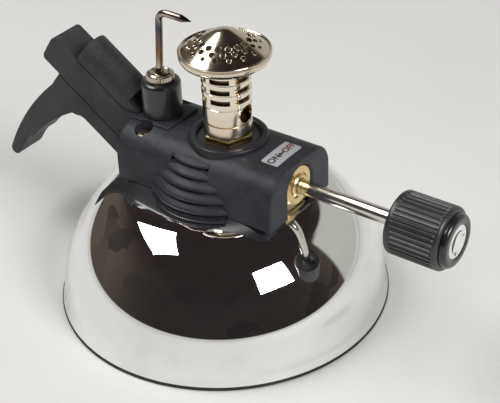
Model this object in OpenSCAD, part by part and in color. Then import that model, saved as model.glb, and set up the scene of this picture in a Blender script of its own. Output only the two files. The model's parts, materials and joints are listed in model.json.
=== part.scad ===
// Tabletop butane micro burner: domed tank, valve with knob, slotted burner, piezo igniter arm.
// Frame: origin on the table under the middle of the length, +X towards the knob, +Z up. Millimetres.

/* [Tank] */
// Diameter over the tank's rim
tank_d = 90; // [80:0.5:100]
// Height of the tank's flat top above the table
tank_h = 33.9; // [28:0.1:36]
// Diameter of the tank's upright wall
tank_wall_d = 88.4; // [78:0.2:97]
// Radius of the curve of the tank's wall
wall_r = 38.6; // [36:0.2:44]
// Radius of the tank's shoulder
shoulder_r = 16; // [10:0.5:22]
// Thickness of the tank's sheet
shell_t = 1.2; // [0.8:0.1:1.8]
// Height of the rim's top edge
rim_top = 2.4; // [2.2:0.1:4]
// Height of the foot ring
foot_h = 0.9; // [0.6:0.1:1.5]
// How far the foot ring reaches in from the wall's outside
foot_w = 2.1; // [1.5:0.1:3.5]
// Height of the base plate's underside
plate_z = 7; // [5:0.5:10]
// Diameter of the neck's body
neck_d = 12; // [10:0.5:14]
// Diameter of the neck's flange
neck_flange_d = 18; // [15:0.5:20]
// Height of the neck above the tank
neck_h = 1.3; // [1.2:0.1:3.6]

/* [Fill valve] */
// Diameter of the fill valve body
fill_d = 9; // [7:0.5:12]
// Length of the fill valve body above the plate
fill_h = 9; // [7:0.5:12]
// Diameter of the fill stem
fill_stem_d = 2.6; // [2:0.1:3.4]
// How far the fill stem stands out of its body
fill_out = 2.4; // [1.6:0.1:3.5]

/* [Valve and knob] */
// Height of the spindle's axis
spindle_z = 40.9; // [39:0.1:43]
// Diameter of the spindle
spindle_d = 4; // [3:0.1:5]
// Diameter of the valve body
valve_d = 9.8; // [8:0.1:11]
// Front face of the valve body
valve_x = 25; // [22:0.5:27]
// Back end of the valve body
valve_back = -8; // [-10:0.5:-6]
// Diameter of the gland nut's nose
gland_d = 6.2; // [5:0.1:7]
// Back of the knob
knob_x = 53.8; // [46:0.2:62]
// Length of the knob's ribbed body
knob_len = 14.4; // [10:0.2:18]
// Diameter of the knob
knob_d = 16.2; // [13:0.1:19]
// Number of ribs on the knob
knob_ribs = 40; // [20:1:44]
// Diameter of the knob's front ring
knob_ring_d = 13.8; // [11:0.1:15]
// Length of the knob's front ring
knob_ring_len = 1.7; // [1.5:0.1:4]
// Diameter of the white disc
disc_d = 8.6; // [7:0.1:10.5]

/* [Burner] */
// Distance of the burner's axis in front of the tank's axis
burner_x = 3.6; // [2:0.1:5]
// Diameter of the burner tube
tube_d = 12.5; // [11:0.1:14]
// Wall of the burner tube
tube_t = 0.8; // [0.6:0.1:1.1]
// Height of the tube's lower end
tube_z = 50.7; // [50:0.1:52]
// Diameter of the air hole
air_d = 5; // [3:0.1:5.6]
// Height of the air hole above the tube's lower end
air_z = 6.1; // [4:0.1:7]
// Height of one slot
slot_h = 1.4; // [0.8:0.1:1.8]
// Distance between the rows of slots
slot_pitch = 2.9; // [2.2:0.1:3.4]
// Slots in each row
slot_n = 6; // [4:1:8]
// Width of the bar between two slots
slot_bar = 1.3; // [0.9:0.1:2]
// Diameter of the cap
cap_d = 23.5; // [20:0.1:26]
// Height of the cap's lower edge above the table
cap_z = 70.3; // [69:0.1:72]
// Height of the cap's rim
cap_rim = 3.1; // [2.6:0.1:4.4]
// Height of the cap's crown above its rim
cap_crown = 5.5; // [3.5:0.1:6.5]
// Holes in each ring of the cap
cap_holes = 16; // [10:1:18]
// Distance across the nut's flats
nut_af = 11.8; // [11:0.1:13]
// Diameter of the collar
collar_d = 20.6; // [18:0.2:21]
// Height of the collar's top
collar_top = 49.5; // [49.2:0.1:51]

/* [Housing] */
// Half width of the housing
house_w = 13.4; // [12.6:0.1:14]
// Height of the housing's top
house_top = 48.7; // [48:0.1:49.2]
// Height of the housing's lower edge
house_bot = 34; // [33:0.2:35]
// Front face of the housing
house_front = 25.5; // [24:0.5:28]
// Back face of the housing
house_back = -23.4; // [-25:0.2:-22.8]
// Wall of the housing
house_t = 1.8; // [1.4:0.1:2.2]
// Radius of the housing's top
house_top_r = 40; // [24:1:60]
// Radius of the housing's shoulders
house_corner_r = 5.6; // [4.6:0.2:7]
// Width of the front opening
mouth_w = 10.8; // [10.2:0.1:13]
// Radius of the grip at its foot
grip_r = 18.3; // [16.4:0.1:18.8]
// Mean distance between two grip ribs
grip_pitch = 2.65; // [2.4:0.05:3.2]
// Height of the rear seam
seam_z = 44.2; // [43:0.1:45]
// Front edge of the rear cover
cover_x = -10.8; // [-12:0.1:-10]
// Height of the platform
deck_z = 49.5; // [49.2:0.1:50.2]
// Width of the platform
deck_w = 14.6; // [13:0.2:16]
// Distance of the cover screws from the middle
screw_y = 8.1; // [7.9:0.1:8.8]
// Diameter of the cover screws' heads
screw_head_d = 4.2; // [3.4:0.1:4.6]

/* [Igniter] */
// Axis of the electrode
electrode_x = -17.9; // [-18.6:0.1:-17]
// Diameter of the insulator
insulator_d = 10.6; // [8:0.1:11]
// Height of the insulator
insulator_h = 9.2; // [7:0.1:11]
// Diameter of the ferrule
ferrule_d = 7.4; // [4.6:0.1:8]
// Height of the ferrule
ferrule_h = 3.2; // [2:0.1:4]
// Diameter of the electrode wire
wire_d = 1.9; // [1.4:0.1:2.4]
// Height of the electrode's upper limb
wire_top = 78.2; // [77:0.1:81]
// Tip of the electrode
tip_x = -6.4; // [-8:0.1:-5]
// Rise of the arm above the horizontal
arm_tilt = 34.1; // [32:0.1:36]
// Width of the arm
arm_w = 10.4; // [9:0.1:10.6]
// Lower face of the bar, measured square to the arm
bar_lo = 16.3; // [16:0.1:17]
// Upper face of the bar, measured square to the arm
bar_hi = 25; // [24.4:0.1:25.4]
// Free end of the arm, measured along it
arm_end = 77.8; // [75:0.2:80]
// Radius of the ridge
ridge_r = 4.9; // [4.4:0.1:5]
// Travel of the trigger
trigger_travel = 6; // [4:0.5:7]
// Reach of the trigger's hook below the arm
hook_reach = 34; // [28:0.5:36]

/* [Hidden] */
$fn = 96;
eps = 0.01;
// running clearance of a shaft in its hole
run_c = 0.05;
// gap between moving pieces
gap = 0.3;
// gap between fitted fixed pieces
seat_c = 0.04;

// tank
wall_cx = tank_wall_d/2 - wall_r;
shoulder_a = asin((tank_h - foot_h - shoulder_r)/(wall_r - shoulder_r));
shoulder_x = wall_cx + (wall_r - shoulder_r)*cos(shoulder_a);
shoulder_z = tank_h - shoulder_r;
rim_in = tank_wall_d/2 - shell_t/2;
rim_round = 0.6;
foot_lip_h = 2;
foot_in = tank_wall_d/2 - foot_w;
foot_out = max(tank_d, tank_wall_d)/2;
foot_lip_r = wall_inside(foot_h + foot_lip_h) - seat_c;
neck_hole = neck_d/2 + seat_c;
neck_top = tank_h + neck_h;
neck_flange_h = 1.2;
neck_drop = 3;
neck_bore = 9;
seal_h = 0.8;
plate_t = 1.2;
plate_flange = 3;
plate_r = wall_inside(plate_z + plate_t) - seat_c;

// fill valve
fill_top = plate_z + fill_h;
fill_nose = plate_z - 1.5;
fill_neck_d = fill_d - 2;
fill_hex_d = fill_d + 1;
fill_bore = fill_stem_d + 2*run_c;
fill_room_d = fill_d - 2.6;
fill_head_d = fill_room_d - 2*gap - 0.4;
fill_head_t = 1.2;
fill_seal_t = 0.8;
fill_floor = plate_z + 1.2;
fill_head_z = fill_floor + fill_seal_t + 0.02;
fill_wire = 0.5;
fill_lid_t = 1;
fill_lid_hole = 1.4;

// valve
stem_room_d = spindle_d + 1.2;
stem_tip = 6.5;
needle_len = 2.6;
needle_d = 1.6;
gland_x = valve_x - 3;
gland_len = 3.7;
seal_x = 20;
seal_len = 1.6;
outlet_d = 9.6;
flange_d = 12.4;
flange_z = house_top - 2*house_t;
outlet_top = 53.2;
riser_d = 3;
stub_bot = tank_h - 1;

// knob
knob_front = knob_x + knob_len;
knob_flange = 1.7;
knob_band = 1.4;
knob_bore = spindle_d/2 + seat_c;
socket_depth = 8;
knob_back_round = 0.8;
knob_front_round = 1.2;
ring_round = min(1, knob_ring_len/2 - seat_c);
flute_r = 0.5;
flute_in = 0.35;
disc_t = 0.6;
disc_seat = 0.35;

// burner
tube_top = cap_z + 1.4;
sleeve_z = tube_z + 8.6;
sleeve_t = 0.6;
sleeve_gap = 0.15;
slot_low = tube_z + 10.5;
groove_z = tube_z + 3.4;
line_z = tube_z + 8.2;
groove_h = 0.5;
groove_in = 0.3;
line_h = 0.2;
line_in = 0.1;
slot_turn = -40;
sleeve_hole_d = 1.4;
sleeve_holes = 8;
sleeve_hole_z = 2.4;
cap_t = 1;
crown_r = 5;
lip_z = cap_z + cap_rim;
cap_top = lip_z + cap_crown;
lip_r = 0.3;
lip_step = 0.35;
band_top = lip_z - 0.75;
band_round = 0.8;
band_foot = cap_d/2 - 1.6;
cap_room = cap_d/2 - 2;
hole_in = 6.2;
hole_step = 1.4;
hole_d = 1.6;
hole_less = 0.25;
gauze_d = cap_d - 6.4;
gauze_hole_d = 2.4;
gauze_t = 0.5;
gauze_z = tube_top + 0.1;
nut_z = 48.3;
nut_turn = 7;
nut_h = tube_z - nut_z;
collar_floor = nut_z - seat_c;
collar_in = 17;
collar_round = 1;
recess_round = 0.7;
collar_bot = house_top - house_t;
collar_h = collar_top - collar_bot - seat_c;
jet_z = outlet_top;
jet_h = 2;
jet_hex_d = 5.4;
jet_nose_d = 2.4;
jet_hole_d = 0.5;

// housing
corner_y = house_w - house_corner_r;
arch_drop = sqrt(pow(house_top_r - house_corner_r, 2) - corner_y*corner_y);
corner_z = house_top - house_top_r + arch_drop;
grip_n = 5;
grip_top = 45.7;
grip_fall = 5.4;
rib_close = 0.135;
rib_r = 1.25;
rib_in = 1.2;
grip_lid = 0.8;
hollow_h = 9.4;
pocket_x = -6.8;
pocket_len = 14.6;
pocket_y = house_w - 2.1;
pocket_deep = 6;
pocket_z = grip_top - 1.2;
pocket_h = 1.6;
boss_d = collar_d + 0.8;
saddle_len = 6;
saddle_h = 8;
saddle_w = arm_w + 4;
cover_c = 0.06;
screw_floor = 45.6;
screw_d = 2.5;
screw_len = 7.5;
head_h = 1.5;
bore_d = screw_head_d + 0.8;
pillar_d = 4.8;
bore_wall = 0.8;
slot_len = 2.4;
slot_t = 0.6;
slot_deep = 0.7;
slot_turned = 20;
deck_back = -28.2;
label_w = 5;
label_len = 11;
label_t = 0.15;
label_x = 19.9;

// arm, in its own frame: along the arm, and square to it
ridge_n = 27.3;
ridge_lo = 50.6;
ridge_hi = 68.6;
arm_low = 37;
arm_t = 1.2;
cave_end = 67.2;
head_round = 1.5;
thumb_r = 8.6;
thumb_deep = 1.2;
thumb_lo = ridge_hi + 0.8;
post_over = 0.9;
piezo_n = 21.1;
piezo_r = 3.4;
piezo_lo = 57;
plunger_d = 2.6;
plunger_lo = 46;
plunger_in = 1.5;
post_len = 3;
post_w = 2.8;
slot_w = post_w + 2*gap;
tee_w = 5.6;
tee_lo = bar_lo + arm_t + gap;
tee_t = 0.8;
guide_lo = 68.2;
guide_len = 2.4;
pocket_lo = guide_lo - 0.6;
pocket_hi = guide_lo + guide_len + trigger_travel + gap;
strip_hi = bar_lo - gap;
strip_t = 5.6;
strip_lo_n = strip_hi - strip_t;
strip_end = 71.2;
strip_start = 42;
strip_w = arm_w - 0.4;
spring_wire = 0.5;
spring_r = 2;
spring_turns = 6.25;
piezo_spring_h = piezo_lo - plunger_lo - spring_wire - 0.1;
lead_d = 1.2;
lead_joint_d = 1.36;
lead_n = 29;
lead_from = 60;
lead_c = 0.1;
bridge_w = 3.4;
bridge_h = 4.8;
bridge_len = insulator_d/2 + 4;

// fill spring, between the stem's head and the body's lid
fill_spring_h = fill_top - fill_lid_t - fill_head_z - fill_head_t - fill_wire - 0.1;
fill_spring_r = fill_head_d/2 - fill_wire;
fill_turns = 4.25;

// electrode
bend_r = 2.6;
tip_len = 3.2;
tip_d = 0.12;
wire_foot = 51.4;
ferrule_cone = 1;
knurl_n = 24;
knurl_d = 0.5;
knurl_in = 0.13;
insulator_round = 1.2;

// lead, where it leaves the ridge
lead_end = ridge_lo - 0.9;
lead_x0 = lead_n*sin(arm_tilt) - lead_end*cos(arm_tilt);
lead_z0 = lead_end*sin(arm_tilt) + lead_n*cos(arm_tilt);

// hook of the trigger: an outer and an inner arc, in the arm's frame
hook_out_r = 80;
hook_out_n = -10.5;
hook_out_s = strip_end + 0.3 - sqrt(pow(hook_out_r, 2) - pow(strip_lo_n - hook_out_n, 2));
hook_in_r = 59;
hook_in_n = -19.7;
hook_root = 10.2;
hook_in_s = strip_end - hook_root - sqrt(pow(hook_in_r, 2) - pow(strip_lo_n - hook_in_n, 2));
hook_tip_n = strip_lo_n - hook_reach + 1.4;
hook_step = 0.9;
hook_step_n = strip_lo_n - 22.6;
tip_out = hook_out_s + sqrt(pow(hook_out_r, 2) - pow(hook_tip_n - hook_out_n, 2));
tip_in = hook_in_s + sqrt(pow(hook_in_r + hook_step, 2) - pow(hook_tip_n - hook_in_n, 2));
tip_r = (tip_out - tip_in)/2;
hook_span = arm_end - strip_start;

// the origin is under the middle of the length, so the tank's axis stands a little in front of it
rear_reach = (tip_out + tip_in)/2*cos(arm_tilt) - hook_tip_n*sin(arm_tilt) + tip_r;
front_reach = knob_front + knob_ring_len;
tank_x = (rear_reach - front_reach)/2;

// Places a piece drawn round the tank's axis in the object's frame
module framed() translate([tank_x, 0, 0]) children();

// Places children at a height
module up(z) translate([0, 0, z]) children();

// Turns a piece drawn along +Z to lie along +X at the spindle's height
module along_spindle(x) translate([x, 0, spindle_z]) rotate([0, 90, 0]) children();

// Frame of the arm: X along the arm, Z square to it
module arm_frame() rotate([0, arm_tilt, 0]) rotate([0, 0, 180]) children();

// Cylinder along the arm
module arm_rod(from, to, n, d) arm_frame() translate([from, 0, n]) rotate([0, 90, 0])
    cylinder(h=to - from, d=d);

// Block in the arm's frame
module arm_block(s0, s1, n0, n1, w) arm_frame() translate([s0, -w/2, n0]) cube([s1 - s0, w, n1 - n0]);

// Ring with a square section
module ring(d, id, h) difference() {
    cylinder(h=h, d=d);
    translate([0, 0, -1]) cylinder(h=h + 2, d=id);
}

// Point of a coil's middle line
function coil_at(r, h, turns, t) = [r*cos(360*turns*t), r*sin(360*turns*t), h*t];

// Round coil spring as one unbroken tube
module coil(r, wire, turns, h) {
    per_turn = 12;
    sides = 6;
    rings = ceil(per_turn*turns);
    points = [for (i = [0:rings]) let (t = i/rings, c = coil_at(r, h, turns, t), a = 360*turns*t)
        for (k = [0:sides - 1]) let (b = 360*k/sides)
            [c[0] + wire/2*cos(b)*cos(a), c[1] + wire/2*cos(b)*sin(a), c[2] + wire/2*sin(b)]];
    walls = [for (i = [0:rings - 1]) for (k = [0:sides - 1])
        [i*sides + k, (i + 1)*sides + k, (i + 1)*sides + (k + 1)%sides, i*sides + (k + 1)%sides]];
    low = [[for (k = [0:sides - 1]) k]];
    high = [[for (k = [0:sides - 1]) rings*sides + sides - 1 - k]];
    polyhedron(points=points, faces=concat(walls, low, high));
}

// Inner radius of the tank's wall at a height below its shoulder
function wall_inside(z) = wall_cx + sqrt(pow(wall_r - shell_t, 2) - pow(z - foot_h, 2));

// Point of the wall's curve where the shoulder begins, with the section moved inwards by t
function shoulder_start(t) = [wall_cx + (wall_r - t)*cos(shoulder_a), foot_h + (wall_r - t)*sin(shoulder_a)];

// Tank section, moved inwards by t: a core, the shoulder's quarter circle and the wall's wedge of a circle
module tank_section(t) union() {
    polygon([[0, foot_h], [shoulder_x/2, foot_h], [shoulder_x, shoulder_z], [shoulder_x, tank_h - t],
        [0, tank_h - t]]);
    intersection() {
        translate([shoulder_x, shoulder_z]) circle(r=shoulder_r - t, $fn=180);
        translate([shoulder_x - eps, shoulder_z - eps]) square(shoulder_r + 1);
    }
    intersection() {
        translate([wall_cx, foot_h]) circle(r=wall_r - t, $fn=180);
        polygon([[0, foot_h], [2*wall_r, foot_h], [2*wall_r, 2*tank_h], 2*shoulder_start(t) - [0, foot_h]]);
    }
}

module tank_shell() color([0.8, 0.8, 0.82]) framed() rotate_extrude($fn=180) difference() {
    union() {
        tank_section(0);
        translate([rim_in, foot_h]) square([tank_d/2 - rim_round - rim_in, rim_top - foot_h]);
        translate([rim_in, foot_h + rim_round])
            square([tank_d/2 - rim_in, rim_top - foot_h - 2*rim_round]);
        translate([tank_d/2 - rim_round, rim_top - rim_round]) circle(r=rim_round, $fn=32);
        translate([tank_d/2 - rim_round, foot_h + rim_round]) circle(r=rim_round, $fn=32);
    }
    translate([-eps, -eps]) tank_section(shell_t);
    translate([0, tank_h/2]) square([neck_hole, tank_h]);
}

module foot_ring() color([0.1, 0.1, 0.1]) framed() rotate_extrude($fn=180) union() {
    translate([foot_in, 0]) square([foot_out - foot_h/2 - foot_in, foot_h]);
    translate([foot_out - foot_h/2, foot_h/2]) circle(r=foot_h/2, $fn=24);
    translate([foot_in, 0]) square([foot_lip_r - foot_in, foot_h + foot_lip_h]);
}

module base_plate() color([0.7, 0.7, 0.72]) framed() difference() {
    union() {
        up(plate_z) cylinder(h=plate_t, r=plate_r);
        up(plate_z - plate_flange) ring(2*plate_r, 2*plate_r - 2*plate_t, plate_flange + plate_t);
    }
    up(plate_z - 1) cylinder(h=plate_t + 2, d=fill_neck_d + 2*seat_c);
}

module tank_neck() color([0.75, 0.6, 0.25]) framed() difference() {
    union() {
        up(tank_h - neck_drop) cylinder(h=neck_drop + neck_h, d=neck_d);
        up(tank_h + seat_c) cylinder(h=neck_flange_h, d=neck_flange_d);
    }
    up(tank_h - neck_drop - 1) cylinder(h=neck_drop + neck_h + 2, d=neck_bore + 2*seat_c);
}

module neck_seal() color([0.08, 0.08, 0.08]) framed() up(neck_top + seat_c)
    ring(neck_d - 2*gap, neck_bore + 0.4, seal_h - 2*seat_c);

module fill_valve_body() color([0.75, 0.6, 0.25]) framed() difference() {
    union() {
        up(fill_nose) cylinder(h=plate_z - fill_nose + plate_t + seat_c, d=fill_neck_d);
        up(plate_z + plate_t + seat_c) cylinder(h=fill_h - plate_t - seat_c, d=fill_d);
        up(fill_nose) cylinder(h=plate_z - fill_nose - seat_c, d=fill_hex_d, $fn=6);
    }
    up(fill_nose - 1) cylinder(h=fill_h + 4, d=fill_bore);
    up(fill_floor) cylinder(h=fill_top - fill_lid_t - fill_floor, d=fill_room_d);
    up(fill_floor) cylinder(h=fill_h, d=fill_lid_hole);
}

module fill_valve_seal() color([0.08, 0.08, 0.08]) framed() up(fill_floor)
    ring(fill_room_d - gap, fill_bore + 0.1, fill_seal_t);

module fill_valve_stem() color([0.75, 0.6, 0.25]) framed() difference() {
    union() {
        up(fill_nose - fill_out) cylinder(h=fill_out - fill_nose + fill_head_z + 0.3, d=fill_stem_d);
        up(fill_head_z) cylinder(h=fill_head_t, d=fill_head_d);
    }
    up(fill_nose - fill_out - 1) cylinder(h=fill_out + 3, d=fill_stem_d/2);
    up(fill_head_z + fill_head_t - 0.6) cylinder(h=1, d=fill_stem_d/2);
}

module fill_valve_spring() color([0.6, 0.6, 0.62]) framed()
    up(fill_head_z + fill_head_t + fill_wire/2 + 0.05)
        coil(fill_spring_r, fill_wire, fill_turns, fill_spring_h);

module valve_body() color([0.78, 0.62, 0.25]) framed() difference() {
    union() {
        along_spindle(valve_back) cylinder(h=valve_x - valve_back, d=valve_d);
        up(stub_bot) cylinder(h=spindle_z - stub_bot, d=neck_bore);
        up(neck_top + seal_h) cylinder(h=spindle_z - neck_top - seal_h, d=neck_d);
        translate([burner_x, 0, spindle_z]) cylinder(h=flange_z - spindle_z, d=flange_d);
        translate([burner_x, 0, spindle_z]) cylinder(h=outlet_top - spindle_z, d=outlet_d);
    }
    along_spindle(stem_tip) cylinder(h=valve_x, d=stem_room_d);
    along_spindle(burner_x - 1) cylinder(h=stem_tip, d=needle_d);
    along_spindle(gland_x) cylinder(h=valve_x, d=gland_d + 2*seat_c);
    up(stub_bot - 1) cylinder(h=spindle_z - stub_bot + 1, d=riser_d);
    along_spindle(-1) cylinder(h=burner_x, d=needle_d);
    translate([burner_x, 0, spindle_z]) cylinder(h=outlet_top, d=riser_d);
}

module gland_nut() color([0.8, 0.66, 0.3]) framed() difference() {
    along_spindle(gland_x) cylinder(h=gland_len, d=gland_d);
    along_spindle(gland_x - 1) cylinder(h=gland_len + 2, d=spindle_d + 2*run_c);
}

module stem_seal() color([0.08, 0.08, 0.08]) framed() along_spindle(seal_x)
    ring(stem_room_d, spindle_d + 2*run_c, seal_len);

module valve_stem() color([0.75, 0.74, 0.72]) framed() union() {
    along_spindle(stem_tip + needle_len)
        cylinder(h=knob_x + socket_depth - stem_tip - needle_len, d=spindle_d);
    along_spindle(stem_tip + 0.4) cylinder(h=needle_len, d1=needle_d/2, d2=needle_d);
}

module knob() color([0.07, 0.07, 0.07]) framed() difference() {
    along_spindle(knob_x) rotate_extrude() union() {
        square([knob_d/2 - knob_front_round, knob_len]);
        square([knob_d/2 - knob_back_round, knob_len/2]);
        translate([0, knob_back_round]) square([knob_d/2, knob_len - knob_back_round - knob_front_round]);
        translate([knob_d/2 - knob_back_round, knob_back_round]) circle(r=knob_back_round);
        translate([knob_d/2 - knob_front_round, knob_len - knob_front_round]) circle(r=knob_front_round);
    }
    for (i = [0:knob_ribs - 1]) along_spindle(knob_x + knob_flange) rotate([0, 0, 360*i/knob_ribs])
        translate([knob_d/2 + flute_r - flute_in, 0, 0])
            cylinder(h=knob_len - knob_flange - knob_band, r=flute_r, $fn=24);
    along_spindle(knob_x - 1) cylinder(h=socket_depth + 1.1, r=knob_bore);
}

module knob_ring() color([0.06, 0.06, 0.06]) framed() along_spindle(knob_front)
    rotate_extrude() difference() {
    union() {
        translate([0, seat_c]) square([knob_ring_d/2, knob_ring_len - ring_round - seat_c]);
        translate([0, seat_c]) square([knob_ring_d/2 - ring_round, knob_ring_len - seat_c]);
        translate([knob_ring_d/2 - ring_round, knob_ring_len - ring_round]) circle(r=ring_round);
    }
    translate([0, knob_ring_len - disc_t]) square([disc_d/2 + seat_c, knob_ring_len]);
}

module knob_disc() color([0.9, 0.9, 0.9]) framed()
    along_spindle(knob_front + knob_ring_len - disc_t + seat_c) cylinder(h=disc_seat, d=disc_d);

module gas_jet() color([0.8, 0.66, 0.3]) framed() translate([burner_x, 0, 0]) difference() {
    union() {
        up(jet_z - 3) cylinder(h=4, d=riser_d - 2*seat_c);
        up(jet_z + seat_c) cylinder(h=jet_h, d=jet_hex_d, $fn=6);
        up(jet_z + jet_h) cylinder(h=1, d1=jet_hex_d - 1.4, d2=jet_nose_d);
    }
    up(jet_z - 4) cylinder(h=4 + jet_h, d=1.2);
    up(jet_z) cylinder(h=jet_h + 2, d=jet_hole_d);
}

module burner_nut() color([0.72, 0.54, 0.2]) framed() translate([burner_x, 0, nut_z]) difference() {
    rotate([0, 0, nut_turn]) cylinder(h=nut_h - seat_c, r=nut_af/sqrt(3), $fn=6);
    up(-1) cylinder(h=nut_h + 2, d=outlet_d + 2*seat_c);
}

module burner_tube() color([0.78, 0.72, 0.6]) framed() translate([burner_x, 0, 0]) difference() {
    up(tube_z) cylinder(h=tube_top - tube_z, d=tube_d);
    up(tube_z - 1) cylinder(h=tube_top - tube_z + 2, d=tube_d - 2*tube_t);
    up(tube_z + air_z) rotate([0, 90, 0]) cylinder(h=tube_d, d=air_d);
    up(tube_z + air_z) rotate([0, 90, 180]) cylinder(h=tube_d, d=air_d);
    up(groove_z) ring(tube_d + 2, tube_d - 2*groove_in, groove_h);
    up(line_z) ring(tube_d + 2, tube_d - 2*line_in, line_h);
    for (row = [0:2]) up(slot_low + row*slot_pitch - slot_h/2) difference() {
        ring(tube_d + 2, tube_d - 2*tube_t - 1, slot_h);
        for (k = [0:slot_n - 1]) rotate([0, 0, 360*k/slot_n + slot_turn]) translate([0, -slot_bar/2, -1])
            cube([tube_d, slot_bar, slot_h + 2]);
    }
}

module burner_sleeve() color([0.4, 0.28, 0.16]) framed() translate([burner_x, 0, sleeve_z]) difference() {
    cylinder(h=tube_top - sleeve_z, d=tube_d - 2*tube_t - 2*sleeve_gap);
    up(-1) cylinder(h=tube_top, d=tube_d - 2*tube_t - 2*sleeve_gap - 2*sleeve_t);
    for (k = [0:sleeve_holes - 1]) rotate([0, 0, 360*k/sleeve_holes + 20]) up(sleeve_hole_z)
        rotate([0, 90, 0]) cylinder(h=tube_d, d=sleeve_hole_d, $fn=24);
}

// Round crown of the cap, moved inwards by t
module cap_crowned(t) intersection() {
    translate([0, cap_top - crown_r]) circle(r=crown_r - t);
    translate([0, cap_z]) square([crown_r, cap_top]);
}

// Outer section of the cap: crown on a cone, thin lip and a band that tapers below it
module cap_outline() union() {
    hull() {
        cap_crowned(0);
        translate([0, band_top]) square([cap_d/2 - lip_r - lip_step, lip_z - band_top - lip_r]);
    }
    hull() for (x = [lip_r, cap_d/2 - lip_r]) translate([x, lip_z - lip_r]) circle(r=lip_r);
    hull() {
        translate([0, cap_z]) square([band_foot, band_top - cap_z]);
        translate([cap_d/2 - band_round, band_top - band_round]) circle(r=band_round);
    }
}

// Hollow of the cap
module cap_hollow() hull() {
    cap_crowned(cap_t);
    translate([0, cap_z + cap_t]) square([cap_room, cap_rim - 1.6*cap_t]);
}

module burner_cap() color([0.78, 0.72, 0.6]) framed() translate([burner_x, 0, 0]) difference() {
    rotate_extrude() difference() {
        cap_outline();
        cap_hollow();
        translate([0, cap_z - 1]) square([tube_d/2 + seat_c, cap_t + 1.5]);
    }
    for (i = [0:2]) for (k = [0:cap_holes - 1]) rotate([0, 0, 360*(k + 0.5*i)/cap_holes])
        translate([hole_in + hole_step*i, 0, cap_z + cap_t + 1])
            cylinder(h=cap_crown + cap_rim, d=hole_d - hole_less*i, $fn=24);
}

module cap_gauze() color([0.35, 0.33, 0.3]) framed() translate([burner_x, 0, gauze_z])
    ring(gauze_d, gauze_hole_d, gauze_t);

module collar() color([0.1, 0.1, 0.11]) framed() translate([burner_x, 0, 0]) rotate_extrude() difference() {
    union() {
        translate([0, collar_bot + seat_c]) square([collar_d/2, collar_h - collar_round]);
        translate([0, collar_bot + seat_c]) square([collar_d/2 - collar_round, collar_h]);
        translate([collar_d/2 - collar_round, collar_top - collar_round]) circle(r=collar_round);
    }
    translate([-eps, 0]) square([outlet_d/2 + gap, collar_top + 1]);
    translate([-eps, collar_floor]) square([collar_in/2, collar_top]);
    translate([collar_in/2 + recess_round, collar_top]) circle(r=recess_round);
}

// Arched section, moved inwards by t
module arch_section(t, bottom) union() {
    translate([-house_w + t, bottom]) square([2*(house_w - t), corner_z - bottom]);
    intersection() {
        for (side = [-1, 1]) translate([side*corner_y, corner_z]) circle(r=house_corner_r - t);
        translate([-house_w, corner_z - eps]) square([2*house_w, house_corner_r]);
    }
    intersection() {
        translate([0, house_top - house_top_r]) circle(r=house_top_r - t, $fn=180);
        polygon([[-corner_y, corner_z], [corner_y, corner_z], [2*corner_y, corner_z + arch_drop],
            [-2*corner_y, corner_z + arch_drop]]);
    }
}

// Arched block from x0 to x1
module arch(x0, x1, t=0, bottom=house_bot) translate([x0, 0, 0]) rotate([90, 0, 90])
    linear_extrude(height=x1 - x0) arch_section(t, bottom);

// Radius of the grip at a height
function grip_at(z) = grip_r - grip_fall*pow((z - house_bot)/(grip_top - house_bot), 2);

// Radius of the grip's hollow at a height
function grip_inside(z) = grip_at(z) - rib_in - house_t;

// Height of one grip rib, closer together towards the top
function rib_z(i) = grip_top - i*(grip_pitch - rib_close*(grip_n - 1 - i));

// Ribbed bell round the tank's axis
module grip() rotate_extrude($fn=144) difference() {
    hollow_top = house_bot + hollow_h;
    union() {
        polygon(concat([[0, house_bot], [grip_r - rib_in, house_bot]],
            [for (i = [grip_n - 1:-1:0]) [grip_at(rib_z(i)) - rib_in, rib_z(i)]],
            [[grip_at(grip_top) - 2*rib_in, grip_top + grip_lid], [0, grip_top + grip_lid]]));
        for (i = [0:grip_n - 1]) translate([grip_at(rib_z(i)) - rib_r, rib_z(i)]) circle(r=rib_r, $fn=32);
    }
    translate([0, house_bot - 2*rib_r]) square([grip_r + 1, 2*rib_r]);
    polygon([[0, house_bot - 1], [grip_inside(house_bot), house_bot - 1], [grip_inside(house_bot), house_bot],
        [grip_inside(hollow_top), hollow_top], [0, hollow_top]]);
}

// Room that the arm needs inside the housing, with a clearance c
module arm_room(c) union() {
    arm_block(arm_low - c, arm_end, bar_lo - c, bar_hi + c, arm_w + 2*c);
    arm_block(ridge_lo - c, arm_end, bar_lo, ridge_n, 2*ridge_r + 2*c);
    arm_rod(ridge_lo - c, arm_end, ridge_n, 2*ridge_r + 2*c);
}

// Lead from the piezo body to the electrode wire, widened by c
module lead_path(c) union() {
    arm_rod(lead_end, lead_from, lead_n, lead_d + 2*c);
    arm_frame() translate([lead_from, 0, piezo_n + piezo_r + seat_c/2])
        cylinder(h=lead_n - piezo_n - piezo_r, d=lead_d + 2*c);
    for (s = [lead_end, lead_from]) arm_frame() translate([s, 0, lead_n]) sphere(d=lead_joint_d + 2*c);
    translate([lead_x0, 0, lead_z0]) rotate([0, 90, 0])
        cylinder(h=electrode_x - wire_d/2 - seat_c - lead_x0, d=lead_d + 2*c);
}

// Round pillars at the two cover screws
module cover_pillars(d, z0, z1) for (side = [-1, 1])
    translate([electrode_x, side*screw_y, z0]) cylinder(h=z1 - z0, d=d);

// Pockets in the housing's shoulders, over the top ribs
module grip_pockets() for (side = [-1, 1])
    translate([pocket_x, side > 0 ? pocket_y : -pocket_y - pocket_deep, pocket_z])
        cube([pocket_len, pocket_deep, pocket_h]);

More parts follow.
